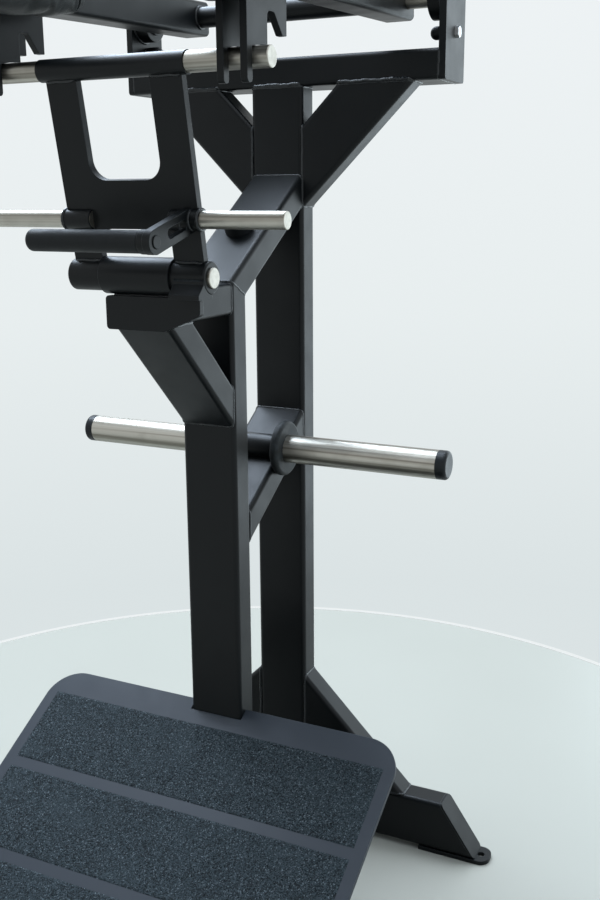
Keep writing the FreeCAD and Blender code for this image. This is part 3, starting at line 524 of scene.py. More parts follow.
def circle(centre: Vector, across: Vector, other: Vector, radius: float, count: int) -> list[Vector]:
    """Points of a circle, from the first of two directions square to each other to the second."""
    turns = (2 * math.pi * k / count for k in range(count))
    return [centre + (across * math.cos(t) + other * math.sin(t)) * radius for t in turns]


class Draft:
    """Points and faces of one piece, gathered before its mesh is made."""

    def __init__(self) -> None:
        """Starts with nothing drawn."""
        self.points: list[Vector] = []
        self.faces: list[tuple[int, ...]] = []

    def rings(self, rings: Sequence[Sequence[Vector]], closed: bool = False, caps: bool = True) -> None:
        """Skins rings of equal count.

        Args:
            rings: Rings of points, in order.
            closed: Whether the last ring joins the first.
            caps: Whether the first and last ring are closed with a face.
        """
        base = len(self.points)
        count = len(rings[0])
        for ring in rings:
            self.points.extend(ring)
        for i in range(len(rings) if closed else len(rings) - 1):
            low, high = base + i * count, base + (i + 1) % len(rings) * count
            for k in range(count):
                after = (k + 1) % count
                self.faces.append((low + k, low + after, high + after, high + k))
        if caps and not closed:
            last = base + (len(rings) - 1) * count
            self.faces.append(tuple(range(base + count - 1, base - 1, -1)))
            self.faces.append(tuple(range(last, last + count)))

    def bead(self, path: Sequence[Vector], radius: Callable[[float], float], sides: int = 7,
             closed: bool = False) -> None:
        """Round bead along a path.

        Args:
            path: Points of the middle line.
            radius: Radius at a distance along the path.
            sides: Points round the bead.
            closed: Whether the path is a loop.
        """
        rings = []
        travelled = 0.0
        count = len(path)
        across = square_to(path[1] - path[0])[0]
        for i, point in enumerate(path):
            before = path[i - 1] if i or closed else point
            after = path[(i + 1) % count] if i < count - 1 or closed else point
            along = (after - before).normalized()
            across = (across - along * across.dot(along)).normalized()
            rings.append(circle(point, across, along.cross(across), radius(travelled), sides))
            travelled += (path[(i + 1) % count] - point).length
        self.rings(rings, closed)

    def turned(self, profile: Profile, origin: Vector, axis: Vector, sides: int = 48) -> None:
        """Turned form.

        Args:
            profile: Pairs of radius and height along the axis; a radius of 0 closes an end.
            origin: Point that heights are counted from.
            axis: Direction of the axis.
            sides: Points round the form.
        """
        across, other = square_to(axis)
        along = axis.normalized()
        rings = [circle(origin + along * height, across, other, max(radius, THINNEST), sides)
                 for radius, height in profile]
        whole = profile[0][0] > 0 and profile[-1][0] > 0
        self.rings(rings, closed=whole, caps=not whole)

    def made(self, name: str, material: bpy.types.Material) -> bpy.types.Object:
        """Makes an object of what is drawn.

        Args:
            name: Name of the object.
            material: Its material.

        Returns:
            The object.
        """
        mesh = bpy.data.meshes.new(name)
        mesh.from_pydata([tuple(p) for p in self.points], [], self.faces)
        mesh.materials.append(material)
        item = bpy.data.objects.new(name, mesh)
        bpy.context.scene.collection.objects.link(item)
        return item

    def piece(self, name: str, finish: Finish, body: Body, slot: Slot,
              crease: float = 32.0) -> bpy.types.Object:
        """Makes a smooth-shaded piece and lets it ride on its body.

        Args:
            name: Name of the piece.
            finish: Its surface finish.
            body: Body that it moves with.
            slot: Slot of the record that its finish belongs to; not used.
            crease: Angle in degrees above which an edge is sharp.

        Returns:
            The object.
        """
        piece = self.made(name, material_of(finish))
        editor = bmesh.new()
        editor.from_mesh(piece.data)
        bmesh.ops.recalc_face_normals(editor, faces=editor.faces)
        editor.to_mesh(piece.data)
        editor.free()
        piece.data.shade_smooth()
        piece.data.set_sharp_from_angle(angle=math.radians(crease))
        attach(piece, body.value)
        log.info("piece %s: %d faces on %s", name, len(self.faces), body.value)
        return piece


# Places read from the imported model

LOW, HIGH = 0, 1


def edge_of(node: str, end: int, axis: str) -> float:
    """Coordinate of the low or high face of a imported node's box."""
    return getattr(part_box(node)[end], axis)


def middle_of(node: str) -> Vector:
    """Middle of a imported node's box."""
    low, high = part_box(node)
    return (low + high) / 2


@dataclass(frozen=True)
class Landmarks:
    """Planes and axes of the machine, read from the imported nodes."""

    face_y: float = edge_of("rear_upright", LOW, "y")
    leg_top: float = edge_of("rear_upright", LOW, "z")
    head_low: float = edge_of("head_beam", LOW, "z")
    head_top: float = edge_of("head_beam", HIGH, "z")
    head_half: float = edge_of("head_beam", HIGH, "x")
    front_y: float = edge_of("front_upright", LOW, "y")
    back_y: float = edge_of("front_upright", HIGH, "y")
    knee_z: float = edge_of("front_upright", HIGH, "z")
    spine_low: float = edge_of("base_spine", LOW, "z")
    spine_top: float = edge_of("base_spine", HIGH, "z")
    foot_back: float = edge_of("front_cross_foot", HIGH, "y")
    arm_low: float = edge_of("support_arm", LOW, "z")
    arm_top: float = edge_of("support_arm", HIGH, "z")
    arm_tip: float = edge_of("front_plate", HIGH, "y")
    tread_y: float = edge_of("foot_plate", HIGH, "y")
    tread_z: float = edge_of("foot_plate", HIGH, "z")

    @property
    def hinge(self) -> Vector:
        """Middle of the lock's hinge axis."""
        return middle_of("hinge_barrel")

    @property
    def pivot(self) -> Vector:
        """Middle of the lever's pivot axis."""
        return middle_of("pivot_sleeve")

    @property
    def hub(self) -> Vector:
        """Middle of the storage pegs' axis."""
        return middle_of("peg_hub")


MARKS = Landmarks()


@dataclass(frozen=True)
class LeverFrame:
    """Coordinates along the lever arms, which slope down to the front."""

    pivot: Vector
    slope: float = math.radians(2.4)
    middle: float = 0.201
    wide: float = 0.056
    tall: float = 0.060

    def point(self, x: float, ahead: float, above: float) -> Vector:
        """Point of the lever.

        Args:
            x: Place across the machine.
            ahead: Distance from the pivot to the front, along the arms.
            above: Height over the middle of the arms, square to them.

        Returns:
            The point.
        """
        y = self.pivot.y - ahead * math.cos(self.slope) - above * math.sin(self.slope)
        z = self.pivot.z - ahead * math.sin(self.slope) + above * math.cos(self.slope)
        return Vector((x, y, z))

    @property
    def up(self) -> Vector:
        """Direction square to the arms, upward."""
        return self.point(0, 0, 1) - self.point(0, 0, 0)


LEVER = LeverFrame(MARKS.pivot)


# Weld seams

BITE = 0.0006  # from the middle of a small bead to the face beside it
SAME_WAY = 0.7  # cosine above which a surface looks the same way as a face of its tube


@dataclass(frozen=True)
class Section:
    """Rectangular tube section with rounded corners, standing at a point and running along a direction."""

    centre: Vector
    along: Vector
    across: Vector
    wide: float = 0.100
    deep: float = 0.050
    corner: float = 0.008
    corner_steps: int = 5

    def outline(self, step: float) -> list[tuple[Vector, Vector]]:
        """Points round the section.

        Args:
            step: Greatest distance between points.

        Returns:
            Each point and its outward direction.
        """
        other = self.along.cross(self.across).normalized()
        across = self.across.normalized()
        half_u, half_v = self.wide / 2 - self.corner, self.deep / 2 - self.corner
        spots = []
        for k, (u, v) in enumerate(((1, 1), (-1, 1), (-1, -1), (1, -1))):
            for j in range(self.corner_steps + 1):
                angle = math.pi / 2 * (k + j / self.corner_steps)
                normal = across * math.cos(angle) + other * math.sin(angle)
                spots.append((across * (u * half_u) + other * (v * half_v) + normal * self.corner, normal))
        found = []
        for (point, normal), (after, after_normal) in zip(spots, spots[1:] + spots[:1]):
            found.append((self.centre + point, normal))
            gap = (after - point).length
            for share in (j * step / gap for j in range(1, int(gap / step))):
                between = normal.lerp(after_normal, share).normalized()
                found.append((self.centre + point.lerp(after, share), between))
        return found

    def loop(self, point: Vector, normal: Vector, step: float, out: float, sunk: float,
             flush: FlushTest) -> list[Vector]:
        """Where the tube's surface meets a plane.

        Args:
            point: Point of the plane.
            normal: Normal of the plane, towards this tube.
            step: Distance between points.
            out: How far the bead's middle stands off the tube and the plane in a corner.
            sunk: How far it lies below the surface where the joint is flush.
            flush: Tells from a surface direction whether the joint is flush there.

        Returns:
            The loop's points.
        """
        unit = normal.normalized()
        found = []
        for spot, outward in self.outline(step):
            lies_flush = flush(outward)
            spot = spot + outward * (-sunk if lies_flush else out)
            landed = spot + self.along * ((point - spot).dot(unit) / self.along.dot(unit))
            found.append(landed if lies_flush else landed + unit * out)
        return found


def flush_on(*faces: Vector) -> FlushTest:
    """Test for a joint that is flush on the faces of a tube that look in these directions."""
    return lambda outward: any(outward.dot(face) > SAME_WAY for face in faces)


CORNER = flush_on()
FLUSH_SIDES = flush_on(X_AXIS, -X_AXIS)
FLUSH_FRONT = flush_on(-Y_AXIS)
FLUSH_FRONT_BACK = flush_on(Y_AXIS, -Y_AXIS)


@dataclass
class WeldSeams:
    """Painted weld beads of one group of joints, drawn as one piece."""

    name: str
    body: Body
    radius: float = 0.0024
    pitch: float = 0.0046
    ripple: float = 0.14
    step: float = 0.0015
    inset: float = 0.0007
    proud: float = 0.0007
    wander: float = 0.0004
    slow_wave: float = 0.050
    fast_wave: float = 0.017
    end_share: float = 0.12
    draft: Draft = field(default_factory=Draft)

    def hand_led(self, path: list[Vector], across: Vector) -> list[Vector]:
        """Lets a path wander a little from side to side, as a hand-laid bead does.

        Args:
            path: Points of the path.
            across: Direction that it wanders in.

        Returns:
            The points, moved.
        """
        count = len(path)
        rng = random.Random(count)
        first, second = rng.uniform(0, 6.28), rng.uniform(0, 6.28)
        slow = max(2, round(count * self.step / self.slow_wave))
        fast = max(3, round(count * self.step / self.fast_wave))
        turns = [2 * math.pi * i / count for i in range(count)]
        shifts = [math.sin(slow * t + first) + 0.6 * math.sin(fast * t + second) for t in turns]
        unit = across.normalized()
        return [point + unit * (self.wander * shift) for point, shift in zip(path, shifts)]

    def size(self, travelled: float) -> float:
        """Radius of the rippled bead at a distance along it."""
        return self.radius * (1 + self.ripple * abs(math.sin(math.pi * travelled / self.pitch)))

    def joint(self, section: Section, point: Vector, normal: Vector, flush: FlushTest = CORNER) -> None:
        """Bead round a tube's end where it meets a plane, which is given by a point and its normal."""
        path = section.loop(point, normal, self.step, -self.inset, self.radius - self.proud, flush)
        self.draft.bead(self.hand_led(path, normal), self.size, closed=True)

    def run(self, start: Vector, end: Vector) -> None:
        """Straight bead that thins out at its ends.

        Args:
            start: Where it starts.
            end: Where it ends.
        """
        length = (end - start).length
        count = max(3, int(length / self.step))

        def size(travelled: float) -> float:
            """Radius that falls away at both ends of the run."""
            ends = min(travelled, length - travelled) / self.radius
            return self.size(travelled) * math.sqrt(max(self.end_share, min(1.0, ends)))

        self.draft.bead(self.hand_led([start.lerp(end, k / count) for k in range(count + 1)], Z_AXIS), size)

    def level(self, half: float, y: float, z: float) -> None:
        """Straight bead along X, as far to the left as to the right."""
        self.run(Vector((-half, y, z)), Vector((half, y, z)))

    def round(self, centre: Vector, axis: Vector, radius: float) -> None:
        """Bead round a bar or boss."""
        path = circle(centre, *square_to(axis), radius, max(24, int(2 * math.pi * radius / self.step)))
        self.draft.bead(path, self.size, closed=True)

    def finish(self) -> None:
        """Makes the piece."""
        # the beads take the lightened weld paint: a painted highlight
        self.draft.piece(self.name, WELD_PAINT_HIGHLIGHTED, self.body, Slot.FRAME_PAINT, crease=80.0)


@dataclass
class FrameWelds:
    """Weld beads of the standing frame."""

    neck_angle: float = math.radians(32.5)
    brace_angle: float = math.radians(45)
    brace_rise: float = 0.210
    head_brace_drop: float = 0.205
    lower_brace_z: float = 0.719
    prop_drop: float = 0.007
    half: float = 0.050
    deep: float = 0.050
    groove_depth: float = 0.0022
    groove_rise: float = 0.0033
    groove_ends: tuple[float, float, float] = (0.003, 0.002, 0.004)
    plate_half: float = 0.047
    plate_gap: float = 0.0004
    seam_half: float = 0.048
    barrel_radius: float = 0.0275
    barrel_gap: float = 0.0008
    barrel_rise: float = 0.0012
    crossbar_gap: float = 0.0016
    hub_bead: float = 0.0229
    housing_bead: float = 0.0364

    def corner_brace(self, side: Side, meet_z: float, rising: bool) -> Section:
        """Section of a brace across a corner of the rear upright.

        Args:
            side: Side of the machine.
            meet_z: Height where the brace's inner edge meets the upright.
            rising: Whether it rises away from the upright.

        Returns:
            The section.
        """
        sign, turn = side.value, 1 if rising else -1
        rise = math.sin(self.brace_angle) * turn
        along = Vector((sign * math.cos(self.brace_angle), 0, rise))
        inward = Vector((-sign * abs(rise), 0, math.cos(self.brace_angle) * turn))
        start = Vector((sign * self.half, MARKS.face_y + self.deep / 2, meet_z)) + inward * self.half
        return Section(start, along, inward)

    def upright(self, y: float) -> Section:
        """Section of an upright whose middle is at y."""
        return Section(Vector((0, y, 0)), Z_AXIS, X_AXIS)

    def base(self) -> None:
        """Beads at the rear leg, the spine and the front foot."""
        seams = WeldSeams("base_weld_beads", Body.FRAME)
        leg_top = Vector((0, 0, MARKS.leg_top))
        seams.joint(self.upright(MARKS.face_y + self.deep / 2), leg_top, Z_AXIS, FLUSH_FRONT_BACK)
        for side in Side:
            brace = self.corner_brace(side, MARKS.leg_top + self.brace_rise, False)
            seams.joint(brace, X_AXIS * (side.value * self.half), X_AXIS * side.value, FLUSH_FRONT_BACK)
            seams.joint(brace, leg_top, Z_AXIS, FLUSH_FRONT_BACK)
        spine = Section(Vector((0, 0, (MARKS.spine_low + MARKS.spine_top) / 2)), -Y_AXIS, X_AXIS)
        seams.joint(spine, Vector((0, MARKS.face_y, 0)), -Y_AXIS, flush_on(-Z_AXIS))
        seams.joint(spine, Vector((0, MARKS.foot_back, 0)), Y_AXIS, flush_on(Z_AXIS, -Z_AXIS))
        seams.joint(self.upright((MARKS.front_y + MARKS.back_y) / 2), Vector((0, 0, MARKS.spine_top)), Z_AXIS,
                    FLUSH_SIDES)
        seams.finish()

    def middle(self) -> None:
        """Beads between the uprights, at the support arm and round the storage pegs' hub."""
        seams = WeldSeams("middle_weld_beads", Body.FRAME)
        front, back = Vector((0, MARKS.front_y, 0)), Vector((0, MARKS.back_y, 0))
        rear = Vector((0, MARKS.face_y, 0))
        along = Vector((0, math.cos(self.neck_angle), math.sin(self.neck_angle)))
        inward = Vector((0, along.z, -along.y)) * (self.deep / 2)
        knee_top = Vector((0, MARKS.front_y, MARKS.knee_z))
        neck = Section(knee_top + inward, along, X_AXIS)
        seams.joint(neck, rear, -Y_AXIS, FLUSH_SIDES)
        knee = WeldSeams("knee_weld_bead", Body.FRAME, radius=0.0022, proud=0.0009)
        knee.joint(neck, knee_top, Z_AXIS + along, lambda _: True)
        knee.finish()
        brace = Section(Vector((0, MARKS.back_y, self.lower_brace_z)) + inward, along, X_AXIS)
        seams.joint(brace, back, Y_AXIS, FLUSH_SIDES)
        seams.joint(brace, rear, -Y_AXIS, FLUSH_SIDES)
        arm = Section(Vector((0, 0, (MARKS.arm_top + MARKS.arm_low) / 2)), -Y_AXIS, X_AXIS)
        seams.joint(arm, front, -Y_AXIS, FLUSH_SIDES)
        prop = Vector((0, -math.cos(self.brace_angle), math.sin(self.brace_angle)))
        upward = Vector((0, prop.z, -prop.y))
        tip = Vector((0, MARKS.arm_tip, MARKS.arm_low - self.prop_drop))
        under = Section(tip + upward * (self.deep / 2), prop, X_AXIS)
        seams.joint(under, front, -Y_AXIS, FLUSH_SIDES)
        seams.joint(under, Vector((0, 0, MARKS.arm_low)), -Z_AXIS, flush_on(X_AXIS, -X_AXIS, -upward))
        plate_top = edge_of("front_plate", HIGH, "z") + self.plate_gap
        seams.level(self.plate_half, MARKS.arm_tip + self.plate_gap, plate_top)
        hinge = MARKS.hinge
        reach = math.sqrt(self.barrel_radius ** 2 - (hinge.z - MARKS.arm_top) ** 2)
        seams.level(self.seam_half, hinge.y + reach + self.barrel_gap, MARKS.arm_top + self.barrel_rise)
        for side in Side:
            seams.round(MARKS.hub + X_AXIS * (side.value * (self.half - BITE)), X_AXIS, self.hub_bead)
        low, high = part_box("plate_crossbar")
        for z in (high.z + BITE, low.z - BITE):
            seams.level(self.seam_half, MARKS.front_y - self.crossbar_gap, z)
        seams.finish()

    def head(self) -> None:
        """Beads at the head beam, its braces and the side plates."""
        seams = WeldSeams("head_weld_beads", Body.FRAME)
        beam_low = Vector((0, 0, MARKS.head_low))
        seams.joint(self.upright(MARKS.face_y + self.deep / 2), beam_low, -Z_AXIS, FLUSH_FRONT)
        middle = Vector((0, MARKS.face_y + self.half, (MARKS.head_low + MARKS.head_top) / 2))
        beam = Section(middle, X_AXIS, Y_AXIS)
        for side in Side:
            out = X_AXIS * side.value
            brace = self.corner_brace(side, MARKS.head_low - self.head_brace_drop, True)
            seams.joint(brace, out * self.half, out, FLUSH_FRONT_BACK)
            seams.joint(brace, beam_low, -Z_AXIS, FLUSH_FRONT)
            seams.joint(beam, out * MARKS.head_half, -out, flush_on(Y_AXIS, -Y_AXIS, -Z_AXIS))
            housing = Vector((side.value * (MARKS.head_half - BITE), MARKS.pivot.y, MARKS.pivot.z))
            seams.round(housing, X_AXIS, self.housing_bead)
        seams.finish()

    def beam_fronts(self) -> None:
        """Stout beads that fill the groove between the beam's rounded edge and what meets it from below."""
        seams = WeldSeams("beam_weld_beads", Body.FRAME, radius=0.0041, ripple=0.07, wander=0.0006)
        y, z = MARKS.face_y + self.groove_depth, MARKS.head_low + self.groove_rise
        start = self.half + self.head_brace_drop
        width = 2 * self.half / math.sin(self.brace_angle)
        upright_end, inner_end, outer_end = self.groove_ends
        seams.level(self.half - upright_end, y, z)
        for side in Side:
            inner, outer = side.value * (start - width + inner_end), side.value * (start - outer_end)
            seams.run(Vector((inner, y, z)), Vector((outer, y, z)))
        seams.finish()

    def build(self) -> None:
        """Draws every bead of the frame."""
        self.base()
        self.middle()
        self.head()
        self.beam_fronts()


@dataclass
class LockWelds:
    """Weld beads of the safety lock."""

    lean: float = math.radians(10.4)
    plate_half: float = 0.111
    plate_thick: float = 0.012
    knuckle_radius: float = 0.0235
    sleeve_radius: float = 0.0155
    window_half: float = 0.060
    knuckle_start: float = 0.0617
    end_gap: float = 0.002
    face_gap: float = 0.0003
    boss_bead: float = 0.0142
    boss_faces: tuple[float, ...] = (-0.1138, 0.0878, 0.1002, 0.1138)
    catch_height: float = 0.083
    catch_offset: float = 0.0035

    def point(self, across: float, up: float, front: float) -> Vector:
        """Point of the lock.

        Args:
            across: Place across the machine.
            up: Distance from the hinge, up the plate.
            front: Distance off the plate's middle plane, to the front.

        Returns:
            The point.
        """
        rise = Vector((0, -math.sin(self.lean), math.cos(self.lean)))
        out = Vector((0, -rise.z, rise.y))
        return MARKS.hinge + X_AXIS * across + rise * up + out * front

    def build(self) -> None:
        """Draws the beads between plate, knuckles, sleeve, bosses and link."""
        seams = WeldSeams("lock_weld_beads", Body.LOCK)
        half = self.plate_thick / 2
        radius = (middle_of("lock_bar") - MARKS.hinge).length
        knuckle_top = math.sqrt(self.knuckle_radius ** 2 - half ** 2)
        sleeve_low = radius - math.sqrt(self.sleeve_radius ** 2 - half ** 2)
        for side in Side:
            outer = side.value * (self.plate_half - self.end_gap)
            for face in (-1, 1):
                off = face * (half + self.face_gap)
                for start, up in ((self.knuckle_start, knuckle_top), (self.window_half, sleeve_low)):
                    inner = side.value * (start + self.end_gap)
                    seams.run(self.point(inner, up, off), self.point(outer, up, off))
        for x in self.boss_faces:
            seams.round(self.point(x, self.catch_height, self.catch_offset), X_AXIS, self.boss_bead)
        seams.finish()


@dataclass
class LeverWelds:
    """Weld beads of the lever."""

    hook_thick: float = 0.010
    hook_space: float = 0.024
    horn_place: float = 0.900
    post_place: float = 0.470
    end_gap: float = 0.003
    shaft_bead: float = 0.0184
    horn_bead: float = 0.0490
    post_bead: float = 0.0104

    def build(self) -> None:
        """Draws the beads at hooks, sleeve, horns and posts."""
        seams = WeldSeams("lever_weld_beads", Body.LEVER, radius=0.0026)
        below = -LEVER.tall / 2 - BITE
        inner, outer = LEVER.middle - LEVER.wide / 2, LEVER.middle + LEVER.wide / 2
        for side in Side:
            sign = side.value
            low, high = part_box(f"{side.label}_hooks")
            front = (LEVER.pivot.y - low.y) / math.cos(LEVER.slope) - self.end_gap
            rear = (LEVER.pivot.y - high.y) / math.cos(LEVER.slope) + self.end_gap
            for direction in (-1, 1):
                plate = sign * LEVER.middle + direction * (self.hook_space + self.hook_thick) / 2
                for face in (-1, 1):
                    x = plate + face * (self.hook_thick / 2 + BITE)
                    seams.run(LEVER.point(x, front, below), LEVER.point(x, rear, below))
            shaft = Vector((sign * (inner - BITE), LEVER.pivot.y, LEVER.pivot.z))
            seams.round(shaft, X_AXIS, self.shaft_bead)
            seams.round(LEVER.point(sign * (outer + BITE), self.horn_place, 0), X_AXIS, self.horn_bead)
            post = LEVER.point(sign * LEVER.middle, self.post_place, LEVER.tall / 2 + BITE)
            seams.round(post, LEVER.up, self.post_bead)
        seams.finish()


# Fasteners


@dataclass
class BufferFasteners:
    """Hexagon bolts with chamfered heads and flat washers at the stop buffers."""

    flats: float = 0.017
    head: float = 0.007
    shoulder: float = 0.000275
    turned_off: float = 0.55
    rims: tuple[float, float, float] = (0.96, 0.66, 0.58)
    dish: float = 0.0005
    bolt_radius: float = 0.005
    washer_radius: float = 0.011
    washer_thick: float = 0.0025
    ease: float = 0.0004
    sides: int = 48

    def bolt_head(self, draft: Draft, base: Vector, out: Vector) -> None:
        """Head whose corners are turned off and whose top is slightly dished.

        Args:
            draft: Draft that it is drawn in.
            base: Middle of its seat.
            out: Direction that it looks in.
        """
        across, other = square_to(out)
        inner = self.flats / 2
        edge, lip, hollow = (inner * share for share in self.rims)
        rings: list[list[Vector]] = [[] for _ in range(5)]
        for k in range(self.sides):
            angle = 2 * math.pi * k / self.sides
            corner = inner / math.cos((angle + math.pi / 6) % (math.pi / 3) - math.pi / 6)
            ray = across * math.cos(angle) + other * math.sin(angle)
            shoulder = self.head - self.shoulder - (corner - inner) * self.turned_off
            stations = ((corner, 0), (corner, shoulder), (edge, self.head), (lip, self.head),
                        (hollow, self.head - self.dish))
            for ring, (radius, height) in zip(rings, stations):
                ring.append(base + ray * radius + out * height)
        draft.rings(rings)

    def build(self) -> None:
        """Draws both bolts and washers."""
        draft = Draft()
        buffer = middle_of("stop_buffers")
        plate_outer = edge_of("side_plates", HIGH, "x")
        bore, edge, ease, thick = self.bolt_radius, self.washer_radius, self.ease, self.washer_thick
        washer = ((bore, 0), (edge - ease, 0), (edge, ease), (edge, thick - ease), (edge - ease, thick),
                  (bore, thick))
        for side in Side:
            out = X_AXIS * side.value
            self.bolt_head(draft, Vector((side.value * plate_outer, buffer.y, buffer.z)), out)
            draft.turned(washer, Vector((side.value * MARKS.head_half, buffer.y, buffer.z)), -out)
        piece = draft.piece("buffer_bolts_and_washers", ZINC, Body.FRAME, Slot.ZINC)
        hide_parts("buffer_fasteners")


# Tread


@dataclass
class GritStrips:
    """Strips of mineral grit on the tread, with a grainy surface and a ragged cut edge."""

    count: int = 3
    half: float = 0.3295
    length: float = 0.1425
    gap: float = 0.0196
    start: float = 0.050
    thick: float = 0.0012
    plate: float = 0.008
    tilt: float = math.radians(29.5)
    cell: float = 0.0024
    wobble: float = 0.28
    grain: float = 0.00045
    edge_lift: float = 0.0001
    first_seed: int = 100

    def point(self, across: float, down: float, lift: float) -> Vector:
        """Point on the tread, from the middle of its back edge.

        Args:
            across: Place across the machine.
            down: Distance down the slope.
            lift: Height over the plate.

        Returns:
            The point.
        """
        fall, rise = math.sin(self.tilt), math.cos(self.tilt)
        y = MARKS.tread_y - self.plate * fall - rise * down - fall * lift
        return Vector((across, y, MARKS.tread_z - fall * down + rise * lift))

    def strip(self, number: int) -> None:
        """Draws one strip.

        Args:
            number: Its number, counted from the back.
        """
        rng = random.Random(self.first_seed + number)
        columns, rows = int(2 * self.half / self.cell), int(self.length / self.cell)
        first = self.start + number * (self.length + self.gap)
        wobble, low = self.cell * self.wobble, self.thick - self.grain
        draft = Draft()
        for i in range(rows + 1):
            for k in range(columns + 1):
                edge = min(i, rows - i, k, columns - k) == 0
                across, down = -self.half + 2 * self.half * k / columns, first + self.length * i / rows
                lift = self.edge_lift
                if not edge:
                    across += rng.uniform(-wobble, wobble)
                    down += rng.uniform(-wobble, wobble)
                    lift = low + rng.random() ** 2 * 2 * self.grain
                draft.points.append(self.point(across, down, lift))
        for i in range(rows):
            for k in range(columns):
                a = i * (columns + 1) + k
                draft.faces.append((a, a + columns + 1, a + columns + 2, a + 1))
        piece = draft.piece(f"grit_strip_{number + 1}", GRIT, Body.FRAME, Slot.GRIT, crease=180.0)
        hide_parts("grip_strips")

    def build(self) -> None:
        """Draws all strips."""
        for number in range(self.count):
            self.strip(number)


# Hand grips


@dataclass
class HandGrips:
    """Ribbed rubber grips with a flange at the bottom and a domed end."""

    place: float = 0.470
    post_height: float = 0.150
    length: float = 0.125
    core: float = 0.010
    core_share: float = 0.96
    radius: float = 0.016
    lip: float = 0.001
    flange: float = 0.004
    ribs: tuple[tuple[float, float], ...] = ((0.0, 0.0), (0.18, 1.0), (0.5, 1.0), (0.68, 0.0))
    rib_start: float = 0.006
    rib_end: float = 0.008
    rib_pitch: float = 0.0062
    rib_depth: float = 0.0011
    swell: float = 0.0006
    dome: float = 0.005
    dome_inset: float = 0.0008
    dome_steps: int = 7
    skin: float = 0.006
    sides: int = 56

    def profile(self) -> Profile:
        """Outline of a grip.

        Returns:
            Pairs of radius and height, from its bore at the open lower end to the top.
        """
        bore = self.length * self.core_share
        points = [(0.0, bore), (self.core, bore), (self.core, 0.0), (self.radius - self.lip, 0.0),
                  (self.radius, self.lip), (self.radius, self.flange)]
        height = self.rib_start
        while height < self.length - self.rib_end:
            swell = self.swell * math.sin(math.pi * height / self.length)
            base = self.radius - self.rib_depth - self.swell + swell
            for share, depth in self.ribs:
                points.append((base + depth * self.rib_depth, height + share * self.rib_pitch))
            height += self.rib_pitch
        top = self.length + self.skin
        points.append((self.radius - self.dome_inset, self.length - self.flange))
        for k in range(self.dome_steps + 1):
            angle = math.pi / 2 * k / self.dome_steps
            points.append((self.radius - self.dome - self.dome_inset + self.dome * math.cos(angle),
                           top - self.dome - 0.0002 + self.dome * math.sin(angle)))
        return points + [(0.0, top)]

    def build(self) -> None:
        """Draws both grips."""
        draft = Draft()
        low = LEVER.tall / 2 + self.post_height - self.length
        for side in Side:
            origin = LEVER.point(side.value * LEVER.middle, self.place, low)
            draft.turned(self.profile(), origin, LEVER.up, self.sides)
        piece = draft.piece("ribbed_hand_grips", RUBBER, Body.LEVER, Slot.BLACK_RUBBER, crease=40.0)
        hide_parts("hand_grips")


# Shoulder pads


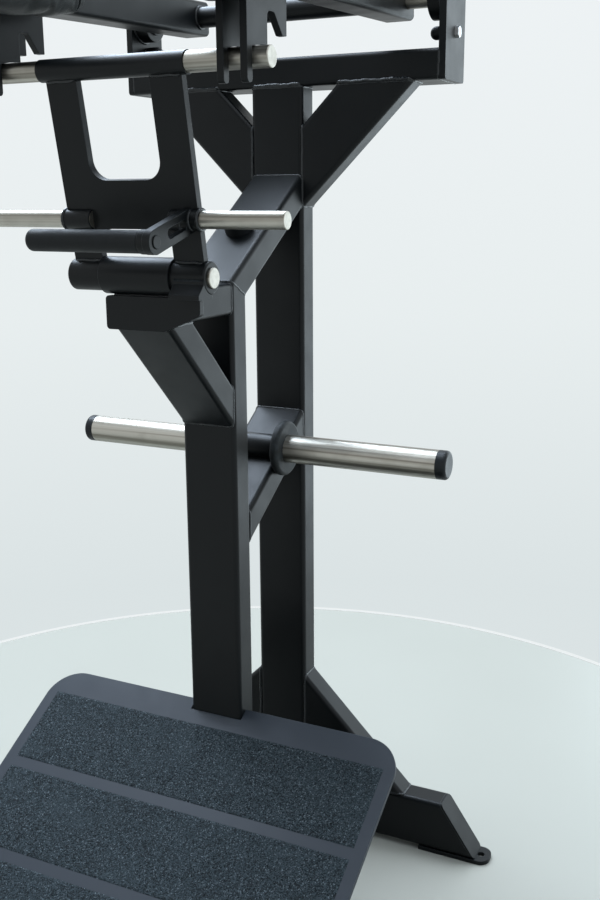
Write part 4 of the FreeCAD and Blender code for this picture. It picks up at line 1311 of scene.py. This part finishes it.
@dataclass
class ShoulderPad:
    """Upholstered pad: a vinyl cover over foam, with piped and stitched seams, on a flat board.

    Each station is a share of the length, with the shares of the full width and depth there.
    """

    side: Side
    start: float = 0.405
    length: float = 0.435
    wide: float = 0.064
    deep: float = 0.060
    top: float = 0.0097
    side_gap: float = 0.002
    stations: tuple[tuple[float, float, float], ...] = (
        (0.0, 0.30, 0.34), (0.03, 0.62, 0.62), (0.09, 0.86, 0.82), (0.22, 1.0, 0.95), (0.50, 0.97, 1.0),
        (0.78, 1.0, 0.97), (0.91, 0.88, 0.84), (0.97, 0.64, 0.62), (1.0, 0.32, 0.34))
    eased: tuple[float, float] = (0.09, 0.91)
    rows: int = 96
    row_start: float = 0.04
    columns: int = 44
    board_share: float = 0.16
    board_power: float = 0.34
    crown_power: float = 0.62
    crown_fall: float = 0.80
    start_share: float = 0.965
    swell_cap: float = 0.0045
    cloth_frames: int = 16
    seam_places: tuple[float, float] = (0.075, 0.925)
    seam_depth: float = 0.0016
    core_depth: float = 0.4
    loop_points: int = 72
    loop_lift: float = 0.0004
    edge_points: int = 110
    edge_angle: float = 0.30
    loop_piping: float = 0.0017
    edge_piping: float = 0.0016
    stitch_gap: float = 0.011
    stitch_angle: float = 0.05
    stitch_turn: float = 0.045
    stitch_reach: float = 0.0035
    stitch_radius: float = 0.00055
    stitch_least: float = 0.0008
    stitch_end: float = 0.15
    stitch_margin: float = 0.095
    stitch_top: float = 0.75
    stitches_round: int = 46
    stitches_along: int = 66
    lift: float = 0.0003
    board_thick: float = 0.0035
    board_ease: float = 0.0012
    board_points: int = 96
    board_wide: float = 0.86
    board_long: float = 0.47

    @property
    def middle_x(self) -> float:
        """X of the pad's middle."""
        return self.side.value * (LEVER.middle - LEVER.wide / 2 - self.side_gap - self.wide / 2)

    def shares(self, along: float) -> tuple[float, float]:
        """Width and depth of the pad, eased between the stations that lie off its ends.

        Args:
            along: Share of the length.

        Returns:
            Shares of the full width and depth.
        """
        for (s0, w0, d0), (s1, w1, d1) in zip(self.stations, self.stations[1:]):
            if along <= s1:
                t = (along - s0) / (s1 - s0)
                t = t * t * (3 - 2 * t) if s0 >= self.eased[0] and s1 <= self.eased[1] else t
                return w0 + (w1 - w0) * t, d0 + (d1 - d0) * t
        return self.stations[-1][1:]

    def ring(self, along: float) -> list[Vector]:
        """Cross-section: flat on the board, crowned below.

        Args:
            along: Share of the length.

        Returns:
            Its points.
        """
        wide_share, deep_share = self.shares(along)
        half = self.wide / 2 * wide_share * self.start_share
        depth = self.deep * deep_share * self.start_share
        points = []
        for k in range(self.columns):
            angle = 2 * math.pi * k / self.columns
            c, s = math.cos(angle), math.sin(angle)
            power = self.crown_power if s < 0 else self.board_power
            if s >= 0:
                above = -depth * self.board_share * (1 - abs(s) ** self.board_power)
            else:
                above = -depth * (self.board_share + (1 - self.board_share) * abs(s) ** self.crown_fall)
            x = self.middle_x + half * math.copysign(abs(c) ** power, c)
            points.append(LEVER.point(x, self.start + self.length * along, self.top + above))
        return points

    def places(self) -> list[float]:
        """Places of the rows, closer together at the ends.

        Returns:
            Shares of the length.
        """
        shares = [self.row_start + (1 - 2 * self.row_start) * i / (self.rows - 1) for i in range(self.rows)]
        places = [0.5 - 0.5 * math.cos(math.pi * share) for share in shares]
        low, high = places[0], places[-1]
        return [(p - low) / (high - low) for p in places]

    def cover(self) -> bpy.types.Object:
        """Draws the cover, lets it swell between its seams and sinks the seams in.

        Returns:
            The cover.
        """
        places = self.places()
        draft = Draft()
        draft.rings([self.ring(p) for p in places])
        piece = draft.piece(f"{self.side.label}_pad_cover", VINYL, Body.LEVER, Slot.PAD_COVER, crease=70.0)
        seam_rows = [min(range(self.rows), key=lambda i: abs(places[i] - seam)) for seam in self.seam_places]
        held = set()
        for k in range(self.columns):
            on_board = math.sin(2 * math.pi * k / self.columns) >= 0
            held_rows = range(self.rows) if on_board else (0, *seam_rows, self.rows - 1)
            held.update(i * self.columns + k for i in held_rows)
        self.swell(piece, held)
        for row in seam_rows:
            vertices = piece.data.vertices[row * self.columns:(row + 1) * self.columns]
            centre = sum((v.co for v in vertices), Vector()) / self.columns
            for vertex in vertices:
                vertex.co += (centre - vertex.co).normalized() * self.seam_depth
        smooth = piece.modifiers.new("smooth", "SUBSURF")
        smooth.levels = smooth.render_levels = 1
        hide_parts(f"{self.side.label}_shoulder_pad")
        return piece

    def swell(self, piece: bpy.types.Object, held: set[int]) -> None:
        """Inflates the cover as cloth, and caps how far a point moves.

        Args:
            piece: The cover.
            held: Numbers of the points on the board, the seams and the ends, which stay.
        """
        scene = bpy.context.scene
        rest = [v.co.copy() for v in piece.data.vertices]
        piece.vertex_groups.new(name="held").add(sorted(held), 1.0, "REPLACE")
        modifier = piece.modifiers.new("cloth", "CLOTH")
        settings = modifier.settings
        settings.quality = 6
        settings.mass = 0.25
        settings.tension_stiffness = settings.compression_stiffness = 18
        settings.bending_stiffness = 0.6
        settings.shrink_min = -0.02
        settings.use_pressure = True
        settings.uniform_pressure_force = 4.0
        settings.vertex_group_mass = "held"
        settings.effector_weights.gravity = 0
        modifier.collision_settings.use_self_collision = False
        modifier.point_cache.frame_start, modifier.point_cache.frame_end = 1, self.cloth_frames
        for number in range(1, self.cloth_frames + 1):
            scene.frame_set(number)
        evaluated = piece.evaluated_get(bpy.context.evaluated_depsgraph_get())
        moved = [v.co.copy() for v in evaluated.data.vertices]
        piece.modifiers.remove(modifier)
        scene.frame_set(1)
        arm_side = self.middle_x + self.side.value * (self.wide / 2 + self.side_gap * 0.5)
        for vertex, start, end in zip(piece.data.vertices, rest, moved):
            step = end - start
            if step.length > self.swell_cap:
                step *= self.swell_cap / step.length
            vertex.co = start + step
            if (vertex.co.x - arm_side) * self.side.value > 0:
                vertex.co.x = arm_side
        most = max((v.co - r).length for v, r in zip(piece.data.vertices, rest))
        log.info("swelled %s by up to %.1f mm", piece.name, most / MM)

    def on_cover(self, tree: BVHTree, share: float, angle: float, lift: float) -> Vector:
        """Point on the cover.

        Args:
            tree: Search tree of the cover.
            share: Share of the length.
            angle: Turn round the pad, from X towards the board.
            lift: Distance off the surface.

        Returns:
            The point.
        """
        below = self.deep * self.shares(share)[1] * self.core_depth
        centre = LEVER.point(self.middle_x, self.start + self.length * share, self.top - below)
        ray = X_AXIS * math.cos(angle) + LEVER.up * math.sin(angle)
        hit, normal, _, _ = tree.ray_cast(centre, ray)
        if hit is None:
            return centre + ray * 0.02
        return hit + (-normal if normal.dot(ray) < 0 else normal) * lift

    def trims(self, cover: bpy.types.Object) -> None:
        """Piping along the board and over the end seams, and rows of stitches beside them.

        Args:
            cover: The cover.
        """
        tree = BVHTree.FromObject(cover, bpy.context.evaluated_depsgraph_get())
        piping, stitches = Draft(), Draft()
        first, last = self.seam_places
        for seam in self.seam_places:
            turns = [2 * math.pi * k / self.loop_points for k in range(self.loop_points)]
            loop = [self.on_cover(tree, seam, turn, self.loop_lift) for turn in turns]
            piping.bead(loop, lambda _: self.loop_piping, 8, closed=True)
            for share in (seam - self.stitch_gap, seam + self.stitch_gap):
                for k in range(self.stitches_round):
                    turn = 2 * math.pi * (k + 0.5) / self.stitches_round
                    if math.sin(turn) <= self.stitch_top:
                        self.stitch(stitches, self.on_cover(tree, share, turn - self.stitch_turn, self.lift),
                                    self.on_cover(tree, share, turn + self.stitch_turn, self.lift))
        for edge, row in ((self.edge_angle, self.stitch_angle),
                          (math.pi - self.edge_angle, math.pi - self.stitch_angle)):
            shares = [first + (last - first) * k / self.edge_points for k in range(self.edge_points + 1)]
            piping.bead([self.on_cover(tree, share, edge, self.lift) for share in shares],
                        lambda _: self.edge_piping, 8)
            for k in range(self.stitches_along):
                share = self.stitch_margin + (1 - 2 * self.stitch_margin) * k / (self.stitches_along - 1)
                self.stitch(stitches, self.on_cover(tree, share - self.stitch_reach, row, self.lift),
                            self.on_cover(tree, share + self.stitch_reach, row, self.lift))
        piping.piece(f"{self.side.label}_pad_piping", VINYL, Body.LEVER, Slot.PAD_COVER, crease=70.0)
        stitches.piece(f"{self.side.label}_pad_stitches", THREAD, Body.LEVER, Slot.PAD_COVER, crease=70.0)

    def stitch(self, draft: Draft, start: Vector, end: Vector) -> None:
        """One raised stitch between two points.

        Args:
            draft: Draft that it is drawn in.
            start: Where it starts.
            end: Where it ends.
        """
        length = (end - start).length
        if length < self.stitch_least:
            return

        def size(travelled: float) -> float:
            """Radius that falls away to both ends."""
            return self.stitch_radius * math.sqrt(max(self.stitch_end, 1 - (2 * travelled / length - 1) ** 2))

        draft.bead([start.lerp(end, k / 4) for k in range(5)], size, 6)

    def board(self) -> None:
        """Thin board between the cover and the bracket."""
        draft = Draft()
        rings = []
        for down, grow in ((0.0, -self.board_ease), (0.0, 0.0), (self.board_thick, 0.0),
                           (self.board_thick, -self.board_ease)):
            half = self.wide / 2 * self.board_wide + grow
            ring = []
            for k in range(self.board_points):
                angle = 2 * math.pi * k / self.board_points
                c, s = math.cos(angle), math.sin(angle)
                share = 0.5 + self.board_long * math.copysign(abs(c) ** 0.35, c)
                x = self.middle_x + half * math.copysign(abs(s) ** 0.5, s)
                ring.append(LEVER.point(x, self.start + self.length * share, self.top - down))
            rings.append(ring)
        draft.rings(rings)
        draft.piece(f"{self.side.label}_pad_board", PLASTIC, Body.LEVER, Slot.PAD_COVER)

    def build(self) -> None:
        """Draws the whole pad."""
        cover = self.cover()
        bpy.context.view_layer.update()
        self.trims(cover)
        self.board()


# Carried-over nodes


@dataclass
class NodeDresser:
    """Gives every carried-over node of the model its finish."""

    special: dict[str, Finish] = field(default_factory=lambda: {
        "storage_collars": COLLAR_RUBBER,
        "horn_collars": COLLAR_RUBBER,
        "foot_pads": FRAME_PAINT,
    })

    def build(self) -> None:
        """Assigns the materials by the record's slots."""
        slots = {part["node"]: part.get("material_slot") for part in frame["record"].get("subparts", [])}
        for name, node in frame["nodes"].items():
            slot = slots.get(name) or Slot.FRAME_PAINT.value
            finish = self.special.get(name) or SLOT_FINISH[Slot(slot)]
            node.data.materials.clear()
            node.data.materials.append(material_of(finish))
        log.info("dressed %d nodes", len(frame["nodes"]))


# Studio


@dataclass(frozen=True)
class Softbox:
    """Rectangular soft lamp that faces a point."""

    name: str
    place: tuple[float, float, float]
    target: tuple[float, float, float]
    size: tuple[float, float]
    power: float
    colour: Colour

    def build(self) -> None:
        """Adds the lamp."""
        data = bpy.data.lights.new(self.name, "AREA")
        data.shape = "RECTANGLE"
        data.size, data.size_y = self.size
        data.energy = self.power
        data.color = self.colour
        lamp = bpy.data.objects.new(self.name, data)
        lamp.location = self.place
        lamp.rotation_mode = "QUATERNION"
        lamp.rotation_quaternion = (Vector(self.target) - Vector(self.place)).to_track_quat("-Z", "Y")
        lamp.visible_camera = False
        bpy.context.scene.collection.objects.link(lamp)


@dataclass(frozen=True)
class PhotoCamera:
    """Camera where the photograph was taken from."""

    place: tuple[float, float, float] = (0.8926, -1.3288, 1.249)
    forward: tuple[float, float, float] = (-0.42349, 0.87483, -0.23522)
    right: tuple[float, float, float] = (0.90009, 0.43572, 0)
    roll: float = math.radians(0.351)
    lens: float = 42.68
    sensor_width: float = 36.0

    def build(self) -> None:
        """Adds the camera and makes it the scene's."""
        forward, right = Vector(self.forward).normalized(), Vector(self.right).normalized()
        down = forward.cross(right).normalized()
        cosine, sine = math.cos(self.roll), math.sin(self.roll)
        columns = (right * cosine + down * sine, right * sine - down * cosine, -forward)
        data = bpy.data.cameras.new("camera")
        data.lens = self.lens
        data.sensor_width = self.sensor_width
        data.clip_start, data.clip_end = 0.02, 60
        camera = bpy.data.objects.new("camera", data)
        camera.matrix_world = Matrix.Translation(self.place) @ Matrix(columns).transposed().to_4x4()
        bpy.context.scene.collection.objects.link(camera)
        bpy.context.scene.camera = camera


@dataclass
class Studio:
    """Turntable floor, pale surroundings, soft lamps and the camera of the photograph."""

    centre: tuple[float, float] = (-0.0326, 0.3116)
    radius: float = 1.2098
    rim_wide: float = 0.014
    rim_rise: float = 0.0008
    floor_thick: float = 0.02
    floor_sides: int = 192
    floor_colour: Colour = (0.302, 0.287, 0.241)
    floor_cloud: float = 1.04
    # glow of the rim: a painted highlight on the platform's edge
    rim_highlight_colour: Colour = (0.85, 0.89, 0.90)
    low_tone: Colour = (0.705, 0.765, 0.775)
    middle_tone: Colour = (0.805, 0.855, 0.862)
    high_tone: Colour = (0.850, 0.890, 0.905)
    front_shade: float = 0.15
    back_glow: float = 1.30
    low_glow: float = 0.62
    high_glow: float = 1.75
    tone_span: tuple[float, float] = (-0.35, 0.15)
    middle_place: float = 0.48
    tint_span: tuple[float, float] = (-0.1, 0.7)
    depth_span: tuple[float, float] = (-0.75, 0.35)
    rise_span: tuple[float, float] = (-0.40, 0.15)
    low_tint: Colour = (0.90, 1.0, 1.05)
    high_tint: Colour = (0.82, 0.95, 1.14)
    lamps: tuple[Softbox, ...] = (
        Softbox("ceiling", (-0.30, 0.4, 3.3), (-0.2, 0.3, 0), (3.2, 2.8), 50, (0.82, 0.93, 1.04)),
        Softbox("left_softbox", (-1.2, 0.95, 3.2), (0, 0.1, 1.0), (1.8, 1.8), 122, (0.78, 0.92, 1.10)),
        Softbox("back_softbox", (1.25, 3.1, 1.15), (0, 0.3, 1.05), (2.6, 3.2), 45, (0.82, 0.97, 1.06)),
    )
    camera: PhotoCamera = PhotoCamera()

    def disc(self, name: str, material: bpy.types.Material, profile: Profile) -> None:
        """Turned stage piece round the platform's centre.

        Args:
            name: Name of the piece.
            material: Its material.
            profile: Pairs of radius and height.
        """
        draft = Draft()
        draft.turned(profile, Vector((*self.centre, 0)), Z_AXIS, self.floor_sides)
        draft.made(name, material)

    def floor(self) -> None:
        """Round platform with a thin rim that glows as a painted highlight along its edge."""
        sheet = ShaderSheet("platform", Specular_IOR_Level=0.4)
        cloud = sheet.noise(sheet.place(), 1.6, 3.0)
        pale = tuple(c * self.floor_cloud for c in self.floor_colour)
        tone = sheet.blend(sheet.span(cloud, 0.0, 1.0), self.floor_colour, pale)
        sheet.feed(sheet.shader, Base_Color=tone, Roughness=sheet.span(cloud, 0.34, 0.42))
        # The rim glows by emission: a painted highlight of the platform's edge, though it is no lamp.
        rim = ShaderSheet("platform_rim_highlight")
        rim.feed(rim.output, Surface=rim.add("Emission", Color=self.rim_highlight_colour, Strength=1.0).outputs[0])
        edge, outer, rise, low = self.radius, self.radius + self.rim_wide, self.rim_rise, -self.floor_thick
        self.disc("platform", sheet.material, ((0, 0), (edge, 0), (edge, low), (0, low)))
        self.disc("platform_rim_highlight", rim.material, ((edge, rise), (outer, rise), (outer, low), (edge, low)))

    def surroundings(self) -> None:
        """World: an even pale wall to look at, and a studio that is darker in front to light by."""
        world = bpy.data.worlds.new("studio")
        bpy.context.scene.world = world
        sheet = NodeSheet(world)
        looks = sheet.add("SeparateXYZ", _0=sheet.add("TexCoord").outputs["Generated"]).outputs
        ramp = sheet.add("ValToRGB", Fac=sheet.span(looks["Z"], 0.0, 1.0, *self.tone_span))
        ramp.color_ramp.elements[0].color = (*self.low_tone, 1)
        ramp.color_ramp.elements[1].color = (*self.high_tone, 1)
        ramp.color_ramp.elements.new(self.middle_place).color = (*self.middle_tone, 1)
        tone = ramp.outputs["Color"]
        start, end = self.tint_span
        hue = sheet.add("MapRange", {"data_type": "FLOAT_VECTOR"}, Vector=looks["Z"], _7=(start,) * 3,
                        _8=(end,) * 3, _9=self.low_tint, _10=self.high_tint)
        depth = sheet.span(looks["Y"], self.front_shade, self.back_glow, *self.depth_span, "SMOOTHSTEP")
        rise = sheet.span(looks["Z"], self.low_glow, self.high_glow, *self.rise_span)
        wall = sheet.add("Background", Color=tone)
        room = sheet.add("Background", Color=sheet.blend(1.0, tone, hue.outputs["Vector"], "MULTIPLY"),
                         Strength=sheet.combine("MULTIPLY", depth, rise))
        rays = sheet.add("LightPath").outputs
        seen = rays["Is Camera Ray"]
        for kind in ("Is Glossy Ray", "Is Transmission Ray"):
            seen = sheet.combine("MAXIMUM", seen, rays[kind])
        mix = sheet.add("MixShader", Fac=seen, _1=room.outputs[0], _2=wall.outputs[0])
        sheet.add("OutputWorld", Surface=mix.outputs[0])

    def build(self) -> None:
        """Sets up camera, floor, world and lamps."""
        self.camera.build()
        self.floor()
        self.surroundings()
        for lamp in self.lamps:
            lamp.build()
        bpy.context.scene.view_settings.view_transform = "Standard"


def main() -> None:
    """Builds the studio and the machine's looks in order."""
    Studio().build()
    NodeDresser().build()
    FrameWelds().build()
    LockWelds().build()
    LeverWelds().build()
    BufferFasteners().build()
    GritStrips().build()
    HandGrips().build()
    for side in Side:
        ShoulderPad(side).build()


if __name__ == "__main__":
    main()
